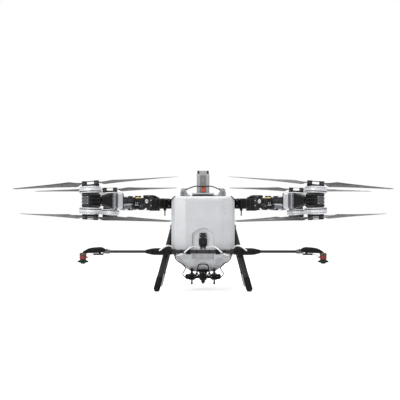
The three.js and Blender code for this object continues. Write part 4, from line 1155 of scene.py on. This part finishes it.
def boom_tube_mesh(side):
    piece = Piece("boom_tube")
    at = flip(side) @ move(0, BOOM_Y, BOOM_Z) @ ABOUT_X
    start = BOOM_HALF + 0.3
    profile = [(22, start), (25, start + 2), (25, start + 30), (28, start + 34), (28, start + 60),
               (26.5, start + 62), (26.5, start + 70), (28, start + 72), (27, SOCKET_END - 64),
               (25.5, SOCKET_END - 62), (25.5, SOCKET_END - 56), (26.5, SOCKET_END - 54),
               (14, SOCKET_END - 3), (12, SOCKET_END)]
    piece.lathe(profile, BLACK, at, 40)
    piece.rod((0, 0, SOCKET_END - 4), (0, 0, TUBE_END), THIN_RADIUS, CARBON, at, count=28)
    for i in range(8):
        near, far = start + 78, SOCKET_END - 70
        piece.skin([[(25, -2, near), (25, 2, near), (28.2, 2, near), (28.2, -2, near)],
                    [(24, -2, far), (24, 2, far), (27.6, 2, far), (27.6, -2, far)]],
                   BLACK, at @ turn("Z", i * 45))
    # clamp back to the front leg
    share = (BOOM_Z - LEG_FOOT[-1].z) / (LEG_TOP[-1].z - LEG_FOOT[-1].z)
    on_leg = LEG_FOOT[-1].lerp(LEG_TOP[-1], share)
    line, _ = along(on_leg, LEG_TOP[-1])
    ring = [(LEG_RADIUS + 0.3, -26), (LEG_RADIUS + 8, -25), (LEG_RADIUS + 9, -23), (LEG_RADIUS + 9, 23),
            (LEG_RADIUS + 8, 25), (LEG_RADIUS + 0.3, 26)]
    piece.lathe(ring, COATED, flip(side) @ line, 40, loop=True)
    reach = on_leg.y - BOOM_Y - LEG_RADIUS
    arm_at = flip(side) @ move(on_leg.x, BOOM_Y + reach / 2 + 2, BOOM_Z)
    piece.block((46, reach - 4, 40), (0, 0, 0), COATED, arm_at, 8)
    for z in (-19, 19):
        piece.block((60, reach - 16, 6), (0, 0, z), BLACK, arm_at, 6)
    for z in (-12, 12):
        for dx in (-24, 24):
            piece.bolt((dx, -reach / 2 + 2, z), (0, -1, 0), 3.6, at=arm_at)
    return piece.data()


def nozzle_mesh(side):
    piece = Piece("nozzle")
    at = flip(side)
    clamp = at @ move(0, BOOM_Y, BOOM_Z) @ ABOUT_X
    piece.lathe([(12, TUBE_END + 0.3), (16, TUBE_END + 2), (17, TUBE_END + 6), (17, TUBE_END + 30),
                 (15.5, TUBE_END + 32), (15.5, TUBE_END + 40), (17, TUBE_END + 42),
                 (15, TUBE_END + 54)], GREY_BLACK, clamp, 32)
    arch = [(TUBE_END + 34, BOOM_Y, BOOM_Z - 1), (TUBE_END + 66, BOOM_Y, BOOM_Z + 14),
            (TUBE_END + 104, BOOM_Y, NOZZLE_TOP - 24), (TUBE_END + 156, BOOM_Y, NOZZLE_TOP - 28),
            (NOZZLE_X - 28, BOOM_Y, BOOM_Z + 0), (NOZZLE_X - 3, BOOM_Y, BOOM_Z - 17)]

    def swell(share):
        return 15 + 8.5 * math.sin(math.pi * min(1.0, share * 1.25))

    piece.tube(arch, 15, BLACK, at, count=24, per_span=8, radii=swell)
    piece.block((9, 34, 7), (TUBE_END + 26, BOOM_Y, BOOM_Z + 18), BLACK, at, 3)
    for dy in (-12, 12):
        piece.bolt((TUBE_END + 26, BOOM_Y + dy, BOOM_Z + 21), UP, 2.8, at=at)
    # atomiser housing: amber collar, dark seam and red band with its inlet
    head = at @ move(NOZZLE_X, BOOM_Y)
    piece.lathe([(16, 310), (24, 312), (27.5, 306), (28, 300), (28, 292), (25, 290)], AMBER, head, 40)
    piece.lathe([(25, 293), (27, 291), (27, 287), (25, 285)], DARK, head, 40)
    piece.lathe([(22, 290), (26, 287), (27, 283), (27, 266), (25, 262), (20, DISC_TOP + 0.6)], RED,
                head, 40)
    for i in range(10):
        piece.block((3, 5, 12), (26.4, 0, 275), RED, head @ turn("Z", i * 36))
    piece.lathe([(7, 0), (7.5, 3), (7.5, 14), (5.5, 16), (5.5, 24)], RED,
                head @ move(-16, 0, 277) @ turn("Y", -90), 20)
    # small bracket on a post, with the pale hose that runs to the head
    piece.lathe([(10, BOOM_Z - 26), (10, BOOM_Z + 24)], BLACK, at @ move(830, BOOM_Y), 24)
    piece.block((80, 24, 13), (840, BOOM_Y, BOOM_Z - 21), BLACK, at, 5)
    for x in (812, 870):
        piece.bolt((x, BOOM_Y, BOOM_Z - 27), -UP, 3, at=at)
    hose_path = [(868, BOOM_Y, BOOM_Z - 21), (888, BOOM_Y - 2, BOOM_Z - 22),
                 (908, BOOM_Y - 3, BOOM_Z - 30), (926, BOOM_Y - 2, BOOM_Z - 42),
                 (942, BOOM_Y, BOOM_Z - 45)]
    piece.tube(hose_path, 4, HOSE, at, count=12)
    return piece.data()


def disc_mesh():
    """The spinning cup with twelve swept teeth."""
    piece = Piece("disc")
    teeth, around = 12, 96
    crown, upper, lower, base = [], [], [], []
    for i in range(around):
        a = 2 * math.pi * i / around
        wave = (i * teeth / around) % 1.0
        reach = 1 - min(wave, 1 - wave) * 2
        radius = 29 + (DISC_RADIUS - 29) * reach ** 1.6
        swept = a + 0.06
        crown.append((22 * math.cos(a), 22 * math.sin(a), DISC_TOP - 5))
        upper.append((radius * 0.97 * math.cos(a), radius * 0.97 * math.sin(a), DISC_TOP - 12))
        droop = DISC_LOW + 22 - 9 * reach ** 2
        lower.append((radius * math.cos(swept), radius * math.sin(swept), droop))
        base.append((20 * math.cos(a), 20 * math.sin(a), DISC_LOW + 8))
    piece.skin([crown, upper, lower, base], IMPELLER)
    piece.lathe([(12, DISC_LOW), (18, DISC_LOW + 1), (21, DISC_LOW + 6), (23, DISC_LOW + 16),
                 (26.5, DISC_TOP - 8), (26.5, DISC_TOP - 1), (24, DISC_TOP)], IMPELLER, count=48)
    for i in range(12):
        piece.block((14, 1.6, 9), (27, 0, DISC_LOW + 20), IMPELLER, turn("Z", i * 30 + 8))
    return piece.data()


# ---- pumps, wiring and hoses ------------------------------------------------------------------------
PUMP_Y, PUMP_Z = -128, 112


def pump_mesh():
    piece = Piece("pump")
    facing = turn("X", 90)  # a shape's Z axis looks to the front
    middle = move(0, PUMP_Y, PUMP_Z) @ facing
    piece.lathe([(30, -40), (36, -38), (37, -30), (37, -8), (35.5, -6), (35.5, 6), (37, 8), (37, 40),
                 (35, 45), (30, 46), (29, 52), (24, 54), (12, 54)], BLACK, middle, 44)
    for i in range(8):
        spot = turn("Z", i * 45 + 22) @ Vector((32, 0, 0))
        piece.bolt((spot.x, spot.y, 44.5), (0, 0, 1), 2.8, at=middle)
    for i in range(16):
        piece.block((3, 2.4, 28), (37, 0, 22), BLACK, middle @ turn("Z", i * 22.5))
    piece.lathe([(30, PUMP_Z), (30, 138), (34, 141), (34, 147), (30, 149.4)], BLACK,
                move(0, PUMP_Y - 6), 36)
    piece.lathe([(21, PUMP_Z - 22), (18, PUMP_Z - 40), (8, 54), (5, 52)], BLACK, move(0, PUMP_Y - 20), 28)
    piece.lathe([(17, -138), (17, 138)], BLACK, move(0, PUMP_Y, PUMP_Z) @ ABOUT_X, 28)
    for side in (-1, 1):
        pod = move(side * 92, PUMP_Y, PUMP_Z) @ facing
        piece.lathe([(24, -34), (29, -32), (30, -28), (30, -6), (28, -4), (28, 4), (30, 6), (30, 34),
                     (26, 39), (14, 40)], BLACK, pod, 40)
        for i in range(6):
            spot = turn("Z", i * 60) @ Vector((24.5, 0, 0))
            piece.bolt((spot.x, spot.y, 37.5), (0, 0, 1), 2.8, at=pod)
            piece.block((10, 6, 22), (30, 0, 16), BLACK, pod @ turn("Z", i * 60 + 30))
        post = move(side * 92, PUMP_Y)
        piece.lathe([(5, 46), (9, 48), (9, 60), (7, 62), (7, 82)], BLACK, post, 20)
        piece.lathe([(9, 132), (9, 138), (12, 140), (12, 143), (9, 145.4)], BLACK, post, 20)
        cap = flip(side) @ move(118, PUMP_Y - 26, PUMP_Z) @ ABOUT_X
        piece.lathe([(20, -2), (21, 2), (19, 10), (19, 16), (17, 26), (12, 28)], BLACK, cap, 30)
        for i in range(8):
            piece.block((3, 4, 18), (20, 0, 12), BLACK, cap @ turn("Z", i * 45))
        piece.rod((side * 42, PUMP_Y - 20, PUMP_Z + 2), (side * 56, PUMP_Y - 20, PUMP_Z + 32), 11, BLACK,
                  end_radius=9)
        # outlet post in front of the funnel
        piece.rod((side * 92, PUMP_Y - 36, PUMP_Z + 16), (side * 92, PUMP_Y - 56, PUMP_Z + 66), 8.5, BLACK)
        piece.rod((side * 92, PUMP_Y - 48, PUMP_Z + 46), (side * 92, PUMP_Y - 52, PUMP_Z + 56), 11, BLACK)
        # white plug on each pump inlet
        piece.rod((side * 58, PUMP_Y - 44, PUMP_Z + 6), (side * 44, PUMP_Y - 46, PUMP_Z + 16), 4.5, WHITE)
    return piece.data()


def wiring_mesh():
    piece = Piece("wiring")
    half = [(226, -332, 300), (222, -326, 268), (196, -316, 238), (168, -290, 222), (142, -246, 190),
            (150, -210, 166), (166, -182, 132), (128, -173, 96), (70, -173, 92), (50, -186, 150),
            (40, -222, 200), (22, -244, 216)]
    route = [(-x, y, z) for x, y, z in half] + half[::-1]
    piece.tube(route, 4.2, WIRE, count=12, per_span=5)
    # plugs where the loom meets the boom and the pods
    for side in (-1, 1):
        piece.block((12, 12, 20), (side * 226, -331, 304), BLACK, corner=3)
        piece.block((14, 12, 10), (side * 128, -173, 96), BLACK, corner=3)
        piece.block((12, 12, 12), (side * 50, -187, 150), BLACK, corner=3)
    return piece.data()


METER_Y = -273.5


def hoses_mesh():
    piece = Piece("hoses")
    # over the boom, down its front, back under it and up again over the leg clamp
    half = [(14, METER_Y, 362), (40, METER_Y - 14, 352), (84, -330, 360), (116, -370, 346),
            (148, -374, 318), (178, -362, 300), (206, -334, 294), (228, -308, 308),
            (240, -302, 338), (258, -318, 362), (286, -352, 370), (318, -372, 356),
            (350, -375, 330)]
    for side in (-1, 1):
        piece.tube(half, 6, HOSE, flip(side), count=16, per_span=6)
        piece.lathe([(6.2, -8), (8, -7), (8, 7), (6.2, 8)], BLACK,
                    flip(side) @ along(half[4], half[5])[0] @ move(z=12), 20, loop=True)
        piece.rod((side * 13, METER_Y - 2, 368), (side * 16, METER_Y - 2, 340), 7, BLACK, end_radius=5)
    # flow meter
    at = move(0, METER_Y)
    piece.prism(rounded(56, 34, 8, 5), 424, 466, BLACK, at)
    piece.prism(rounded(50, 30, 8, 5), 464, 470, BLACK, at)
    piece.prism(rounded(66, 38, 11, 5), 372, 424, BLACK, at)
    piece.prism(rounded(58, 33, 9, 5), 366, 374, BLACK, at)
    piece.prism(rounded(48, 28, 7, 5), 352, 368, COATED, at)
    for z in (386, 398, 410):
        piece.prism(rounded(67.4, 39.4, 11, 5), z, z + 4, COATED, at)
    piece.block((34, 4, 26), (0, -17, 444), COATED, at, 1)
    for x in (-20, 20):
        for z in (432, 458):
            piece.bolt((x, -16.5, z), (0, -1, 0), 2.6, at=at)
    piece.lathe([(7, 0), (7, 6), (5, 8)], DARK, at @ move(0, -18, 398) @ turn("X", 90), 24)
    return piece.data()


# ---- every piece on its body ------------------------------------------------------------------------
ESC_CENTRE = ARM_LENGTH - 285


def show_rotors(corner, bells, blades):
    side, end = sides(corner)
    for level in LEVELS:
        prefix = f"{corner}_{level}"
        show(f"{prefix}_bell_and_hub", bells, f"{prefix}_rotor", [f"{prefix}_motor_bell"],
             rotor_frame(corner, level), bevel=0.5)
        for letter in "ab":
            show(f"{prefix}_blade_{letter}_skin", blades[side * end], f"{prefix}_blade_{letter}",
                 [f"{prefix}_blade_{letter}"], blade_frame(corner, level, letter),
                 bevel=0)


def show_arm(corner, meshes):
    side, end = sides(corner)
    at = arm_frame(corner)
    body = f"{corner}_arm"
    show(f"{corner}_arm_tube", meshes["arm"], body, [f"{corner}_arm"], at, bevel=1.0)
    show(f"{corner}_controller_housing", meshes["esc"], body, [f"{corner}_speed_controller"],
         at @ move(ESC_CENTRE), bevel=1.0)
    show(f"{corner}_mount_housing", meshes["mount"][side * end], body, [f"{corner}_motor_mount"],
         at @ move(ARM_LENGTH), bevel=0.8)
    show(f"{corner}_latch_lever", meshes["latch"], f"{corner}_arm_latch", [f"{corner}_arm_latch"],
         at @ move(LATCH_X, 0, LATCH_Z), bevel=0.8)


def build_drone():
    bells = bell_mesh()
    blades = {spin: blade_mesh(spin) for spin in (-1, 1)}
    meshes = {"arm": arm_mesh(), "esc": esc_mesh(), "latch": latch_mesh(),
              "mount": {sign: mount_mesh(sign) for sign in (-1, 1)}}
    for corner in CORNERS:
        side, end = sides(corner)
        show_rotors(corner, bells, blades)
        show_arm(corner, meshes)
        show(f"{corner}_leg_tube", leg_mesh(side, end), "airframe", [f"{corner}_leg"])
    disc = disc_mesh()
    for side, name in ((1, "left"), (-1, "right")):
        show(f"{name}_frame_beam", frame_side_mesh(side), "airframe", [f"{name}_frame_side"])
        show(f"{name}_boom_arm", boom_tube_mesh(side), "airframe", [f"{name}_boom_tube"],
             bevel=0.8)
        show(f"{name}_nozzle_arm", nozzle_mesh(side), "airframe", [f"{name}_nozzle_head"],
             bevel=0.6)
        show(f"{name}_atomizer_cup", disc, f"{name}_atomizer_disc", [f"{name}_atomizer_disc"],
             move(side * NOZZLE_X, BOOM_Y), bevel=0.4)
    show("tank_shell", rounded_copy("liquid_tank", 0.0034, 22, 0.3), "airframe", ["liquid_tank"],
         bevel=0)
    show("tank_fittings", tank_fittings_mesh(), "airframe", [], bevel=0.8)
    show("tank_lid_cap", lid_mesh(), "tank_lid", ["tank_lid"], bevel=0.8)
    show("battery_case", battery_mesh(), "battery", ["battery"])
    show("battery_bay_shell", bay_mesh(), "airframe", ["battery_bay"])
    show("boom_centre_tube", boom_centre_mesh(), "airframe", ["boom_centre"], bevel=0.8)
    show("pump_cluster", pump_mesh(), "airframe", ["pump_unit"], bevel=0.8)
    show("pump_loom", wiring_mesh(), "airframe", ["pump_wiring"], bevel=0.6)
    show("boom_hoses_and_meter", hoses_mesh(), "airframe", ["spray_hoses"], bevel=0.6)


build_drone()


# ---- floor and light --------------------------------------------------------------------------------
def add_floor():
    n = Nodes("pale_floor")
    n.link(n.mix(n.span(n.noise(1.2, 3.0), 0.0, 1.0), grey(0.78), grey(0.82)), "Base Color")
    n.set(Roughness=0.9, Emission_Color=grey(1.0), Emission_Strength=0.3)
    mesh = bpy.data.meshes.new("floor")
    reach = 40.0
    corners = [(-reach, -reach, 0), (reach, -reach, 0), (reach, reach, 0), (-reach, reach, 0)]
    mesh.from_pydata(corners, [], [(0, 1, 2, 3)])
    mesh.materials.append(n.material)
    floor = bpy.data.objects.new("floor", mesh)
    bpy.context.collection.objects.link(floor)


def add_softbox(name, place, aim, size, power):
    data = bpy.data.lights.new(name, "AREA")
    data.shape = "RECTANGLE"
    data.size, data.size_y = size
    data.energy = power
    lamp = bpy.data.objects.new(name, data)
    lamp.location = place
    lamp.rotation_euler = (Vector(aim) - Vector(place)).to_track_quat("-Z", "Y").to_euler()
    bpy.context.collection.objects.link(lamp)


def add_light():
    add_softbox("top_softbox", (-0.4, -0.8, 4.4), (0, 0, 0.4), (4.0, 3.0), 190)
    add_softbox("side_softbox", (-3.0, -6.6, 1.9), (-0.2, -0.3, 0.5), (1.5, 2.6), 150)
    add_softbox("back_softbox", (2.5, 4.8, 2.8), (0, 0, 0.5), (3.5, 2.4), 60)
    world = bpy.data.worlds.new("studio")
    world.use_nodes = True
    background = world.node_tree.nodes["Background"]
    background.inputs["Color"].default_value = (1.0, 1.0, 1.0, 1.0)
    background.inputs["Strength"].default_value = 1.0
    bpy.context.scene.world = world
    bpy.context.scene.view_settings.view_transform = "Standard"


add_floor()
add_light()
